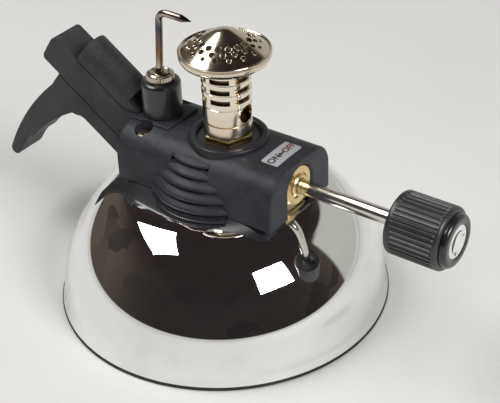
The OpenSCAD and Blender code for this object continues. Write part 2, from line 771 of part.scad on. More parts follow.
module housing() color([0.16, 0.16, 0.17]) framed() difference() {
    union() {
        difference() {
            union() {
                difference() {
                    arch(house_back, house_front);
                    grip_pockets();
                }
                grip();
            }
            arch(house_back + house_t, house_front - house_t, house_t, house_bot - 1);
        }
        intersection() {
            arch(house_back, cover_x, 0, house_bot);
            cover_pillars(pillar_d, house_bot + 2, seam_z - cover_c);
        }
        translate([house_back + house_t/2, -saddle_w/2, house_bot + 0.4])
            cube([saddle_len, saddle_w, saddle_h]);
        translate([burner_x, 0, flange_z + seat_c]) cylinder(h=collar_bot - flange_z - seat_c, d=boss_d);
    }
    translate([house_back - 1, -house_w - 1, seam_z - cover_c/2])
        cube([cover_x - house_back + 1, 2*house_w + 2, house_top]);
    translate([burner_x, 0, collar_bot]) cylinder(h=12, d=collar_d + 2*seat_c);
    translate([burner_x, 0, house_bot]) cylinder(h=20, d=outlet_d + 2*gap);
    along_spindle(valve_back - gap) cylinder(h=house_front - house_t - valve_back, d=valve_d + 2*gap);
    along_spindle(house_front - house_t - 1) cylinder(h=house_t + 2, d=mouth_w);
    translate([house_front - house_t - 1, -mouth_w/2, house_bot - 1])
        cube([house_t + 2, mouth_w, spindle_z - house_bot + 1]);
    arm_room(seat_c);
    cover_pillars(screw_d + 2*seat_c, house_bot, seam_z + 1);
}

module rear_cover() color([0.16, 0.16, 0.17]) framed() difference() {
    union() {
        difference() {
            union() {
                arch(house_back, cover_x - cover_c);
                translate([house_back, -deck_w/2, seam_z + 1])
                    cube([cover_x - house_back - cover_c, deck_w, deck_z - seam_z - 1]);
                translate([deck_back, -arm_w/2, seam_z + 1])
                    cube([house_back - deck_back + 1, arm_w, deck_z - seam_z - 1]);
            }
            arch(house_back + house_t, cover_x + 1, house_t, house_bot - 1);
        }
        intersection() {
            arch(house_back, cover_x - cover_c);
            cover_pillars(bore_d + 2*bore_wall, seam_z, house_top);
        }
        translate([electrode_x - bridge_len, -bridge_w/2, deck_z - 1])
            cube([bridge_len, bridge_w, bridge_h]);
    }
    translate([deck_back - 1, -house_w - 1, 0])
        cube([cover_x - deck_back + 2, 2*house_w + 2, seam_z + cover_c/2]);
    cover_pillars(bore_d, screw_floor, deck_z + 2);
    cover_pillars(screw_d + 0.3, house_bot, deck_z);
    arm_room(seat_c);
    translate([electrode_x, 0, deck_z]) cylinder(h=insulator_h, d=insulator_d + 2*seat_c);
    lead_path(lead_c);
}

module cover_screw() color([0.7, 0.68, 0.62]) framed() for (side = [-1, 1])
    translate([electrode_x, side*screw_y, screw_floor + seat_c]) difference() {
        union() {
            cylinder(h=head_h, d=screw_head_d);
            up(-screw_len) cylinder(h=screw_len + 0.2, d=screw_d);
        }
        for (turn = [0, 90]) rotate([0, 0, turn + slot_turned])
            translate([-slot_len/2, -slot_t/2, head_h - slot_deep]) cube([slot_len, slot_t, 1]);
    }

module label() color([0.7, 0.7, 0.72]) framed() translate([label_x - label_w/2, 0, 0]) rotate([90, 0, 90])
    linear_extrude(height=label_w) difference() {
        intersection() {
            translate([0, house_top - house_top_r]) circle(r=house_top_r + seat_c/2 + label_t, $fn=180);
            translate([-label_len/2, house_top - 5]) square([label_len, 8]);
        }
        translate([0, house_top - house_top_r]) circle(r=house_top_r + seat_c/2, $fn=180);
    }

module electrode_wire() color([0.55, 0.46, 0.38]) framed() union() {
    translate([electrode_x, 0, wire_foot]) cylinder(h=wire_top - bend_r - wire_foot, d=wire_d);
    translate([electrode_x + bend_r, 0, wire_top - bend_r]) rotate([90, 0, 0])
        rotate_extrude(angle=90, start=90) translate([bend_r, 0]) circle(d=wire_d, $fn=32);
    translate([electrode_x + bend_r, 0, wire_top]) rotate([0, 90, 0])
        cylinder(h=tip_x - tip_len - electrode_x - bend_r, d=wire_d);
    translate([tip_x - tip_len, 0, wire_top]) rotate([0, 90, 0]) cylinder(h=tip_len, d1=wire_d, d2=tip_d);
}

module electrode_ferrule() color([0.7, 0.65, 0.56]) framed()
    translate([electrode_x, 0, deck_z + insulator_h]) difference() {
        union() {
            up(seat_c) cylinder(h=ferrule_h - ferrule_cone - seat_c, d=ferrule_d);
            up(ferrule_h - ferrule_cone - eps)
                cylinder(h=ferrule_cone, d1=ferrule_d - 0.2, d2=ferrule_d - 1.8);
        }
        up(-1) cylinder(h=ferrule_h + 2, d=wire_d + 2*seat_c);
        for (k = [0:knurl_n - 1]) rotate([0, 0, 360*k/knurl_n])
            translate([(ferrule_d + knurl_d)/2 - knurl_in, 0, -1])
                cylinder(h=ferrule_h - ferrule_cone + 0.2, d=knurl_d, $fn=16);
    }

module electrode_insulator() color([0.03, 0.03, 0.03]) framed() difference() {
    translate([electrode_x, 0, deck_z]) rotate_extrude() union() {
        translate([0, seat_c]) square([insulator_d/2, insulator_h - insulator_round - seat_c]);
        translate([0, seat_c]) square([insulator_d/2 - insulator_round, insulator_h - seat_c]);
        translate([insulator_d/2 - insulator_round, insulator_h - insulator_round])
            circle(r=insulator_round);
    }
    translate([electrode_x, 0, wire_foot - gap]) cylinder(h=insulator_h, d=wire_d + 2*seat_c);
    lead_path(lead_c);
}

module igniter_case() color([0.15, 0.15, 0.16]) framed() difference() {
    union() {
        arm_block(arm_low, arm_end - head_round, bar_lo, bar_hi, arm_w);
        arm_block(arm_end - 2*head_round, arm_end, bar_lo + head_round, bar_hi - head_round, arm_w);
        for (n = [bar_lo + head_round, bar_hi - head_round]) arm_frame()
            translate([arm_end - head_round, 0, n]) rotate([90, 0, 0])
                cylinder(h=arm_w, r=head_round, center=true);
        arm_block(ridge_lo, ridge_hi, bar_hi - 1, ridge_n, 2*ridge_r);
        arm_rod(ridge_lo, ridge_hi, ridge_n, 2*ridge_r);
    }
    arm_block(arm_low - 1, cave_end, bar_lo + arm_t, bar_hi - arm_t, arm_w - 2*arm_t);
    arm_block(ridge_lo + arm_t, cave_end, bar_hi - arm_t - 1, ridge_n, 2*(ridge_r - arm_t));
    arm_rod(ridge_lo + arm_t, cave_end, ridge_n, 2*(ridge_r - arm_t));
    arm_block(arm_low - 1, plunger_lo + trigger_travel + gap, bar_lo - 1, bar_lo + arm_t + 1, slot_w);
    arm_block(pocket_lo, pocket_hi, bar_lo - 1, bar_lo + arm_t + 1, slot_w);
    arm_block(pocket_lo, pocket_hi, bar_lo + arm_t, tee_lo + tee_t + gap, tee_w + 2*gap);
    lead_path(lead_c);
    arm_rod(thumb_lo, arm_end + 1, bar_hi + thumb_r - thumb_deep, 2*thumb_r);
}

module hook_section() union() {
    difference() {
        intersection() {
            translate([hook_out_s, hook_out_n]) circle(r=hook_out_r, $fn=240);
            translate([strip_start, hook_tip_n]) square([hook_span, strip_lo_n - hook_tip_n + eps]);
        }
        translate([hook_in_s, hook_in_n]) circle(r=hook_in_r, $fn=240);
        intersection() {
            translate([hook_in_s, hook_in_n]) circle(r=hook_in_r + hook_step, $fn=240);
            translate([strip_start, hook_tip_n - tip_r])
                square([hook_span, hook_step_n - hook_tip_n + tip_r]);
        }
    }
    translate([(tip_out + tip_in)/2, hook_tip_n]) circle(r=tip_r);
}

module trigger() color([0.15, 0.15, 0.16]) framed() union() {
    arm_block(strip_start, strip_end, strip_lo_n, strip_hi, strip_w);
    arm_frame() rotate([90, 0, 0]) linear_extrude(height=strip_w - 0.4, center=true) hook_section();
    for (s = [[plunger_lo - post_len, plunger_lo], [guide_lo, guide_lo + guide_len]]) {
        arm_block(s[0], s[1], strip_hi - 0.5, tee_lo + tee_t/2, post_w);
        arm_block(s[0], s[1], tee_lo, tee_lo + tee_t, tee_w);
    }
    arm_block(plunger_lo - post_len, plunger_lo, tee_lo, piezo_n + post_over, post_w);
}

module piezo_body() color([0.85, 0.84, 0.8]) framed() difference() {
    arm_rod(piezo_lo, cave_end - seat_c, piezo_n, 2*piezo_r);
    arm_rod(piezo_lo - 1, piezo_lo + plunger_in + trigger_travel + 0.5, piezo_n, plunger_d + 2*run_c);
}

module piezo_plunger() color([0.75, 0.6, 0.25]) framed()
    arm_rod(plunger_lo, piezo_lo + plunger_in, piezo_n, plunger_d);

module piezo_spring() color([0.6, 0.6, 0.62]) framed() arm_frame()
    translate([plunger_lo + spring_wire/2 + 0.05, 0, piezo_n]) rotate([0, 90, 0])
        coil(spring_r, spring_wire, spring_turns, piezo_spring_h);

module ignition_lead() color([0.6, 0.1, 0.1]) framed() lead_path(0);

// Least gap between the turns of the two springs
echo(fill_spring_gap=fill_spring_h/fill_turns - fill_wire);
echo(piezo_spring_gap=piezo_spring_h/spring_turns - spring_wire);

tank_shell();
foot_ring();
base_plate();
tank_neck();
neck_seal();
fill_valve_body();
fill_valve_stem();
fill_valve_spring();
fill_valve_seal();
valve_body();
gland_nut();
valve_stem();
stem_seal();
knob();
knob_ring();
knob_disc();
gas_jet();
burner_nut();
burner_tube();
burner_sleeve();
burner_cap();
cap_gauze();
collar();
housing();
rear_cover();
cover_screw();
label();
electrode_wire();
electrode_ferrule();
electrode_insulator();
igniter_case();
trigger();
piezo_body();
piezo_plunger();
piezo_spring();
ignition_lead();
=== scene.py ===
"""Looks of a tabletop butane micro burner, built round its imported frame.

Sizes are in millimetres round the tank's axis, as in the part's source, and become metres in the
object's frame when a form is finished.
"""

from __future__ import annotations

import json
import logging
import math
from dataclasses import dataclass
from enum import Enum
from typing import Callable, Optional, Sequence

import bmesh
import bpy
from mathutils import Matrix, Vector


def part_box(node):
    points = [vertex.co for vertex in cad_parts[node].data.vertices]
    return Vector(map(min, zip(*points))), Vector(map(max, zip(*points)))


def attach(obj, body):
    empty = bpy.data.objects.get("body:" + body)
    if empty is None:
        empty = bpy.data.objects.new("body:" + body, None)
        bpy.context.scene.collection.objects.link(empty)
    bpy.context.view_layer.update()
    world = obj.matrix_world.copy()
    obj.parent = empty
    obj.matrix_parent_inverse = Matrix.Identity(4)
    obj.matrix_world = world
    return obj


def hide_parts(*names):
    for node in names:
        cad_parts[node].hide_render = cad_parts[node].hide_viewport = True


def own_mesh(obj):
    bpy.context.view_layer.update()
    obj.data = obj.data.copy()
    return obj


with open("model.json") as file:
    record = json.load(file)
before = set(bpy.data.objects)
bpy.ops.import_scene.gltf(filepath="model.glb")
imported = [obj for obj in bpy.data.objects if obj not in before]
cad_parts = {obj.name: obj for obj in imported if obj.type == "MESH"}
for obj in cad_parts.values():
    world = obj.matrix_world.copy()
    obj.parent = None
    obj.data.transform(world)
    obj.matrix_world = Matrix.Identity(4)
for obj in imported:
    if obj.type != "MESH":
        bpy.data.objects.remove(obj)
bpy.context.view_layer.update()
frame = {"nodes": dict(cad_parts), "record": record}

LOG = logging.getLogger("burner")
MM = 0.001
MERGE = 1e-4
BROKEN_EDGE = (0.3, 2, 40)
MOULDED_EDGE = (0.35, 3, 60)
MOULDED_SHARP = 38
Point = tuple[float, float]
Triple = tuple[float, float, float]
Colour = Triple


class Body(Enum):
    """Bodies of the frame that pieces ride on."""

    BURNER = "burner"
    SPINDLE = "valve_spindle"
    TRIGGER = "trigger"


class Lay(Enum):
    """Ways to place a form that was drawn flat: outline in U and V, depth along W."""

    UPRIGHT = Matrix.Identity(4)
    ALONG_X = Matrix(((0, 0, 1, 0), (1, 0, 0, 0), (0, 1, 0, 0), (0, 0, 0, 1)))
    SIDE = Matrix(((1, 0, 0, 0), (0, 0, -1, 0), (0, 1, 0, 0), (0, 0, 0, 1)))
    ENDWISE = Matrix(((0, 0, 1, 0), (0, 1, 0, 0), (1, 0, 0, 0), (0, 0, 0, 1)))


def tank_axis() -> float:
    """Distance of the tank's axis in front of the origin, in millimetres."""
    low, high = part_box("tank_shell")
    return (low.x + high.x) / 2 / MM


AXIS = tank_axis()


def link(name: str, data: bpy.types.ID) -> bpy.types.Object:
    """Put new data into the scene as an object.

    Args:
        name: Name of the object.
        data: Its mesh, curve, camera or light.

    Returns:
        The new object.
    """
    thing = bpy.data.objects.new(name, data)
    bpy.context.scene.collection.objects.link(thing)
    return thing


def final_mesh(thing: bpy.types.Object) -> bpy.types.Mesh:
    """New mesh of an object with its modifiers applied."""
    graph = bpy.context.evaluated_depsgraph_get()
    return bpy.data.meshes.new_from_object(thing.evaluated_get(graph))


def arc(centre: Point, radius: float, start: float, stop: float, count: int) -> list[Point]:
    """Points along an arc.

    Args:
        centre: Middle of the arc.
        radius: Radius of the arc.
        start: First angle in degrees.
        stop: Last angle in degrees.
        count: Number of steps.

    Returns:
        The points from the first angle to the last.
    """
    turn = (math.radians(start + (stop - start) * i / count) for i in range(count + 1))
    return [(centre[0] + radius * math.cos(a), centre[1] + radius * math.sin(a)) for a in turn]


class Form:
    """A mesh in the making, in millimetres round the tank's axis."""

    def __init__(self) -> None:
        """Start an empty form."""
        self.mesh = bmesh.new()

    def close(self) -> "Form":
        """Merge doubles and turn the faces outwards."""
        bmesh.ops.remove_doubles(self.mesh, verts=self.mesh.verts[:], dist=MERGE)
        bmesh.ops.recalc_face_normals(self.mesh, faces=self.mesh.faces[:])
        return self

    def seal(self) -> "Form":
        """Fill the open ends and close the form."""
        edges = [e for e in self.mesh.edges if e.is_boundary]
        bmesh.ops.holes_fill(self.mesh, edges=edges, sides=0)
        return self.close()

    @classmethod
    def revolve(cls, profile: Sequence[Point], steps: int = 96, sweep: float = 360, start: float = 0,
                rise: float = 0) -> "Form":
        """Spin a closed profile round Z.

        Args:
            profile: Points as radius and height, in order round the section.
            steps: Number of steps of the spin.
            sweep: Angle of the spin in degrees.
            start: Angle of the first section in degrees.
            rise: Climb over the whole spin, as of a coil.

        Returns:
            The closed form.
        """
        form = cls()
        bm = form.mesh
        turn = math.radians(start)
        verts = [bm.verts.new((r * math.cos(turn), r * math.sin(turn), z)) for r, z in profile]
        edges = [bm.edges.new((a, b)) for a, b in zip(verts, verts[1:] + verts[:1])]
        whole = abs(sweep) >= 360 and not rise
        bmesh.ops.spin(bm, geom=verts + edges, axis=(0, 0, 1), cent=(0, 0, 0), angle=math.radians(sweep),
                       dvec=(0, 0, rise / steps), steps=steps, use_merge=whole)
        form.close()
        return form if whole else form.seal()

    @classmethod
    def prism(cls, outline: Sequence[Point], low: float, high: float,
              lay: Matrix = Lay.UPRIGHT.value) -> "Form":
        """Extrude a flat outline.

        Args:
            outline: Points in order round the section.
            low: Depth of the first face.
            high: Depth of the last face.
            lay: Placing of the flat drawing.

        Returns:
            The closed form.
        """
        form = cls()
        bm = form.mesh
        face = bm.faces.new([bm.verts.new((u, v, low)) for u, v in outline])
        grown = bmesh.ops.extrude_face_region(bm, geom=[face])
        moved = [g for g in grown["geom"] if isinstance(g, bmesh.types.BMVert)]
        bmesh.ops.translate(bm, verts=moved, vec=(0, 0, high - low))
        return form.place(lay).close()

    @classmethod
    def block(cls, u: Point, v: Point, w: Point) -> "Form":
        """Make a plain block between two values each of U, V and W."""
        return cls.prism([(u[0], v[0]), (u[1], v[0]), (u[1], v[1]), (u[0], v[1])], *w)

    @classmethod
    def rod(cls, radius: float, low: float, high: float, steps: int = 48) -> "Form":
        """Make a plain round cutter along Z."""
        return cls.prism(arc((0, 0), radius, 0, 360 - 360 / steps, steps - 1), low, high)

    def place(self, matrix: Matrix) -> "Form":
        """Move the whole form by a matrix."""
        bmesh.ops.transform(self.mesh, matrix=matrix, verts=self.mesh.verts[:])
        return self

    def shift(self, x: float = 0, y: float = 0, z: float = 0) -> "Form":
        """Move the whole form."""
        return self.place(Matrix.Translation((x, y, z)))

    def turn(self, degrees: float, axis: str = "Z") -> "Form":
        """Turn the whole form round an axis through the origin."""
        return self.place(Matrix.Rotation(math.radians(degrees), 4, axis))

    def along_x(self, x: float, z: float) -> "Form":
        """Lay a form drawn along Z along X, starting at x and at height z."""
        return self.turn(90, "Y").shift(x=x, z=z)

    def bevel(self, width: float, segments: int = 2, least: float = 35,
              where: Optional[Callable[[Vector], bool]] = None) -> "Form":
        """Round the sharp edges.

        Args:
            width: Width of the rounding.
            segments: Number of strips.
            least: Smallest angle between faces that counts as sharp, in degrees.
            where: Test of an edge's middle, to round only some of the edges.

        Returns:
            The form itself.
        """
        limit = math.radians(least)
        edges = [e for e in self.mesh.edges if len(e.link_faces) == 2 and e.calc_face_angle(0) > limit]
        if where is not None:
            edges = [e for e in edges if where((e.verts[0].co + e.verts[1].co) / 2)]
        bmesh.ops.bevel(self.mesh, geom=edges, offset=width, offset_type="OFFSET", segments=segments,
                        profile=0.5, affect="EDGES", material=-1, clamp_overlap=True)
        return self

    def keep(self, point: Triple, normal: Triple) -> "Form":
        """Cut the form by a plane and keep the side behind its normal, closed."""
        bm = self.mesh
        bmesh.ops.bisect_plane(bm, geom=bm.verts[:] + bm.edges[:] + bm.faces[:], plane_co=point,
                               plane_no=normal, clear_outer=True)
        return self.seal()

    def add(self, other: "Form") -> "Form":
        """Take in another form as it is."""
        mesh = bpy.data.meshes.new("taken")
        other.mesh.to_mesh(mesh)
        self.mesh.from_mesh(mesh)
        bpy.data.meshes.remove(mesh)
        return self

    def combine(self, other: "Form", operation: str) -> "Form":
        """Join with or cut by another form.

        Args:
            other: The second form.
            operation: Name of the Boolean operation.

        Returns:
            The form itself.
        """
        holders = []
        for form in (self, other):
            mesh = bpy.data.meshes.new("operand")
            form.mesh.to_mesh(mesh)
            holders.append(link("operand", mesh))
        modifier = holders[0].modifiers.new("cut", "BOOLEAN")
        modifier.object = holders[1]
        modifier.operation = operation
        modifier.solver = "EXACT"
        done = final_mesh(holders[0])
        self.mesh.free()
        self.mesh = bmesh.new()
        self.mesh.from_mesh(done)
        for holder in holders:
            mesh = holder.data
            bpy.data.objects.remove(holder)
            bpy.data.meshes.remove(mesh)
        bpy.data.meshes.remove(done)
        bmesh.ops.remove_doubles(self.mesh, verts=self.mesh.verts[:], dist=MERGE)
        return self

    def cut(self, other: "Form") -> "Form":
        """Cut away another form."""
        return self.combine(other, "DIFFERENCE")

    def piece(self, name: str, slot: str, node: Optional[str] = None, body: Body = Body.BURNER,
              sharp: float = 32, weighted: bool = False,
              finish: Optional["Finish"] = None) -> bpy.types.Object:
        """Finish the form as an object of the scene.

        Args:
            name: Name of the piece.
            slot: The record's material slot.
            node: The node of the frame that it stands for.
            body: The body that it rides on.
            sharp: Angle above which an edge stays sharp, in degrees.
            weighted: Whether large faces keep flat shading beside their rounded edges.
            finish: Its finish, where that isn't the slot's own.

        Returns:
            The new object.
        """
        bmesh.ops.translate(self.mesh, verts=self.mesh.verts[:], vec=(AXIS, 0, 0))
        bmesh.ops.scale(self.mesh, verts=self.mesh.verts[:], vec=(MM, MM, MM))
        mesh = bpy.data.meshes.new(name)
        self.mesh.to_mesh(mesh)
        self.mesh.free()
        mesh.shade_smooth()
        mesh.set_sharp_from_angle(angle=math.radians(sharp))
        mesh.materials.append((finish or getattr(Finishes, slot)).material())
        thing = link(name, mesh)
        if weighted:
            normals = thing.modifiers.new("weighted", "WEIGHTED_NORMAL")
            normals.keep_sharp = True
        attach(thing, body.value)
        if node is not None:
            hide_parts(node)
        LOG.info("%s: %d faces on %s", name, len(mesh.polygons), body.value)
        return thing


class Value:
    """A number in a shader; arithmetic on it adds Math nodes."""

    def __init__(self, shade: "Shade", socket: bpy.types.NodeSocket) -> None:
        """Wrap an output socket."""
        self.shade = shade
        self.socket = socket

    def maths(self, operation: str, *others: "Value | float") -> "Value":
        """Add a Math node with this value first."""
        return self.shade.maths(operation, self, *others)

    def __add__(self, other: "Value | float") -> "Value":
        """Sum."""
        return self.maths("ADD", other)

    __radd__ = __add__

    def __sub__(self, other: "Value | float") -> "Value":
        """Difference."""
        return self.maths("SUBTRACT", other)

    def __rsub__(self, other: float) -> "Value":
        """Difference from a number."""
        return self.shade.maths("SUBTRACT", other, self)

    def __mul__(self, other: "Value | float") -> "Value":
        """Product."""
        return self.maths("MULTIPLY", other)

    __rmul__ = __mul__

    def __truediv__(self, other: "Value | float") -> "Value":
        """Quotient."""
        return self.maths("DIVIDE", other)

    def __pow__(self, other: "Value | float") -> "Value":
        """Power."""
        return self.maths("POWER", other)

    def ramp(self, low: float, high: float) -> "Value":
        """Smooth step from 0 at low to 1 at high."""
        node = self.shade.node("ShaderNodeMapRange", {"interpolation_type": "SMOOTHSTEP"},
                               {"Value": self, "From Min": low, "From Max": high})
        return Value(self.shade, node.outputs["Result"])


class Shade:
    """A node tree in the making."""

    def __init__(self, tree: bpy.types.NodeTree) -> None:
        """Take an empty tree."""
        self.tree = tree
        tree.nodes.clear()

    def feed(self, socket: bpy.types.NodeSocket, value: object) -> None:
        """Link a socket to a value, or set it."""
        if isinstance(value, Value):
            value = value.socket
        if isinstance(value, bpy.types.NodeSocket):
            self.tree.links.new(value, socket)
        else:
            colour = isinstance(value, tuple) and len(value) == 3
            socket.default_value = (*value, 1) if colour else value

    def node(self, kind: str, settings: Optional[dict] = None,
             sockets: Optional[dict] = None) -> bpy.types.Node:
        """Add any node.

        Args:
            kind: Type of the node.
            settings: Its settings, set first.
            sockets: Values or links of its sockets, by name or number.

        Returns:
            The new node.
        """
        node = self.tree.nodes.new(kind)
        for name, value in (settings or {}).items():
            setattr(node, name, value)
        for name, value in (sockets or {}).items():
            self.feed(node.inputs[name], value)
        return node

    def maths(self, operation: str, *values: "Value | float") -> Value:
        """Add a Math node."""
        node = self.node("ShaderNodeMath", {"operation": operation}, dict(enumerate(values)))
        return Value(self, node.outputs[0])

    def place(self, scale: Triple = (1, 1, 1), centre: Triple = (0, 0, 0)) -> bpy.types.NodeSocket:
        """Object coordinates in millimetres round a centre, stretched by a scale."""
        where = self.node("ShaderNodeTexCoord").outputs["Object"]
        factor = [s / MM for s in scale]
        moved = [-(c + (AXIS if i == 0 else 0)) * s for i, (c, s) in enumerate(zip(centre, scale))]
        sockets = {"Vector": where, "Location": moved, "Scale": factor}
        return self.node("ShaderNodeMapping", {}, sockets).outputs[0]

    def axis(self, name: str, where: bpy.types.NodeSocket) -> Value:
        """One coordinate of a vector."""
        return Value(self, self.node("ShaderNodeSeparateXYZ", {}, {0: where}).outputs[name])

    def noise(self, where: bpy.types.NodeSocket, scale: float, detail: float = 2,
              rough: float = 0.5) -> Value:
        """Cloudy noise from 0 to 1, with a scale per millimetre."""
        node = self.node("ShaderNodeTexNoise", {"noise_dimensions": "3D"},
                         {"Vector": where, "Scale": scale, "Detail": detail, "Roughness": rough})
        return Value(self, node.outputs["Fac"])

    def cells(self, where: bpy.types.NodeSocket, scale: float) -> Value:
        """Distance in a cell pattern."""
        node = self.node("ShaderNodeTexVoronoi", {"feature": "F1"}, {"Vector": where, "Scale": scale})
        return Value(self, node.outputs["Distance"])

    def lines(self, axis: str, pitch: float) -> Value:
        """Fine lathe lines across an axis."""
        across = {"X": (1, 0.02, 0.02), "Z": (0.02, 0.02, 1)}[axis]
        return self.noise(self.place(scale=across), pitch, 2, 0.6)

    def blend(self, factor: "Value | float", first: "Colour | bpy.types.NodeSocket",
              second: "Colour | bpy.types.NodeSocket") -> bpy.types.NodeSocket:
        """Mix two colours."""
        node = self.node("ShaderNodeMix", {"data_type": "RGBA"})
        for name, value in zip(("Factor_Float", "A_Color", "B_Color"), (factor, first, second)):
            self.feed(next(s for s in node.inputs if s.identifier == name), value)
        return next(s for s in node.outputs if s.identifier == "Result_Color")

    def bump(self, height: Value, depth: float, strength: float) -> bpy.types.NodeSocket:
        """Normal from a height, with a depth in millimetres."""
        sockets = {"Height": height, "Distance": depth * MM, "Strength": strength}
        return self.node("ShaderNodeBump", {}, sockets).outputs[0]

    def surface(self, **sockets: object) -> None:
        """End the tree in a Principled surface; names use _ for a space."""
        named = {name.replace("_", " ").title().replace("Ior", "IOR"): value
                 for name, value in sockets.items()}
        shader = self.node("ShaderNodeBsdfPrincipled", {}, named)
        self.node("ShaderNodeOutputMaterial", {}, {"Surface": shader.outputs[0]})


@dataclass(frozen=True)
class Finish:
    """A finish; its material is made once."""

    name: str
    tint: Colour

    def material(self) -> bpy.types.Material:
        """The material of this finish."""
        name = f"finish_{self.name}"
        found = bpy.data.materials.get(name)
        if found is None:
            found = bpy.data.materials.new(name)
            found.use_nodes = True
            self.dress(Shade(found.node_tree))
        return found

    def tone(self, factor: float, lift: float = 0) -> Colour:
        """A darker or lighter tone of the tint."""
        return tuple(min(1.0, factor * c + lift) for c in self.tint)

    def dress(self, shade: Shade) -> None:
        """Build the shader of this finish."""
        raise NotImplementedError


@dataclass(frozen=True)
class Plating(Finish):
    """Bright plating on pressed sheet."""

    rough: float = 0.03
    smudge: float = 0.05

    def dress(self, shade: Shade) -> None:
        """Mirror plating with faint smudges and a slight wave of the sheet."""
        where = shade.place()
        cloud = shade.noise(where, 0.09, 4).ramp(0.45, 0.75)
        wipe = shade.noise(shade.place(scale=(1, 0.2, 1)), 0.6, 3).ramp(0.55, 0.8)
        wave = shade.noise(where, 0.05, 1)
        shade.surface(base_color=shade.blend(cloud, self.tint, self.tone(0.9)), metallic=1.0,
                      roughness=self.rough + self.smudge * cloud * 0.5 + self.smudge * wipe * 0.5,
                      normal=shade.bump(wave, 0.06, 0.15))


@dataclass(frozen=True)
class Turned(Finish):
    """Turned metal with fine lathe lines across an axis."""

    stain: Colour = (0.3, 0.2, 0.1)
    rough: float = 0.2
    axis: str = "Z"
    pitch: float = 5.0
    stain_low: float = 0.62
    stain_high: float = 0.9
    depth: float = 0.004
    metal: float = 1.0

    def dress(self, shade: Shade) -> None:
        """Fine rings, cloudy staining and a little spread of gloss."""
        lines = shade.lines(self.axis, self.pitch)
        cloud = shade.noise(shade.place(), 0.35, 4, 0.6)
        mask = cloud.ramp(self.stain_low, self.stain_high)
        base = shade.blend(lines.ramp(0.35, 0.7), self.tone(0.86), self.tint)
        shade.surface(base_color=shade.blend(mask, base, self.stain), metallic=self.metal,
                      roughness=self.rough * (0.85 + 0.6 * mask + 0.3 * lines),
                      normal=shade.bump(lines, self.depth, 0.35))


@dataclass(frozen=True)
class HeatTinted(Finish):
    """Plated metal that has been tinted by heat towards one end."""

    warm: Colour = (0.4, 0.26, 0.14)
    rough: float = 0.16
    low: float = 60.0
    high: float = 74.0
    most: float = 0.6
    pitch: float = 6.0
    core: float = 0.0
    inside: Colour = (0.6, 0.42, 0.2)

    def dress(self, shade: Shade) -> None:
        """Straw and brown tint that grows towards the hot end, over fine lines."""
        where = shade.place()
        cloud = shade.noise(where, 0.45, 3, 0.6)
        span = self.high - self.low
        along = shade.axis("Z", where) + (cloud - 0.5) * (0.8 * abs(span))
        heat = along.ramp(self.low, self.high) if span > 0 else 1 - along.ramp(self.high, self.low)
        lines = shade.lines("Z", self.pitch)
        base = shade.blend(heat * self.most, self.tint, self.warm)
        if self.core:
            inner = shade.place(centre=(Burner.x, 0, 0))
            radius = (shade.axis("X", inner) ** 2 + shade.axis("Y", inner) ** 2).maths("SQRT")
            base = shade.blend(1 - radius.ramp(self.core - 0.1, self.core + 0.1), base, self.inside)
        shade.surface(base_color=base, metallic=1.0,
                      roughness=self.rough * (0.8 + 0.8 * heat + 0.4 * cloud),
                      normal=shade.bump(lines, 0.0006, 0.1))


@dataclass(frozen=True)
class Tempered(Finish):
    """Steel wire that heat has coloured in bands along its length."""

    foot: tuple[float, float] = (-17.9, 61.9)
    length: float = 26.5
    rough: float = 0.16
    bands: tuple[tuple[float, Colour], ...] = (
        (0.2, (0.2, 0.125, 0.075)), (0.38, (0.13, 0.1, 0.085)), (0.5, (0.07, 0.075, 0.095)),
        (0.62, (0.3, 0.26, 0.22)), (0.8, (0.4, 0.35, 0.3)), (0.93, (0.16, 0.12, 0.1)),
        (1.0, (0.04, 0.035, 0.032)))

    def dress(self, shade: Shade) -> None:
        """Straw, brown and blue bands from the ferrule to the point, with a little scale."""
        where = shade.place()
        cloud = shade.noise(where, 0.6, 4, 0.6)
        rise = shade.axis("Z", where) - self.foot[1]
        run = shade.axis("X", where) - self.foot[0]
        along = (rise + run) / self.length + (cloud - 0.5) * 0.08
        base: "Colour | bpy.types.NodeSocket" = self.tint
        before = 0.0
        for end, colour in self.bands:
            base = shade.blend(along.ramp(before, end), base, colour)
            before = end
        shade.surface(base_color=base, metallic=1.0, roughness=self.rough * (0.8 + 0.6 * cloud),
                      normal=shade.bump(shade.noise(where, 2.5, 2), 0.02, 0.25))


@dataclass(frozen=True)
class Moulded(Finish):
    """Moulded plastic with a fine spark-eroded grain."""

    rough: float = 0.46
    grain: float = 5.0
    depth: float = 0.05
    gloss: float = 0.45
    # Lift of the grain crests' colour: painted glints of light on the grain, partly the grain's own tone.
    tops: float = 2.4
    spread: float = 0.25

    def dress(self, shade: Shade) -> None:
        """Grain with paler crests, partly grain tone and partly painted glints of light, soft colour clouds,
        rubbed patches and a few pale specks of dust.
        """
        where = shade.place()
        grain = shade.noise(where, self.grain, 3, 0.65)
        cloud = shade.noise(where, 0.12, 3)
        rubbed = shade.noise(where, 0.4, 4, 0.6).ramp(0.5, 0.78)
        dust = 1 - shade.cells(where, 0.55).ramp(0.03, 0.09)
        base = shade.blend(cloud.ramp(0.3, 0.7), self.tone(1 - self.spread), self.tone(1 + self.spread))
        # Grain crests painted paler: painted glints of light, partly the grain's own tone.
        base = shade.blend(grain.ramp(0.52, 0.75) * 0.5, base, self.tone(self.tops))
        base = shade.blend(dust * 0.3, base, self.tone(1, 0.12))
        shade.surface(base_color=base, roughness=self.rough + 0.12 * (grain - 0.5) - 0.1 * rubbed,
                      specular_ior_level=self.gloss, normal=shade.bump(grain, self.depth, 0.6))


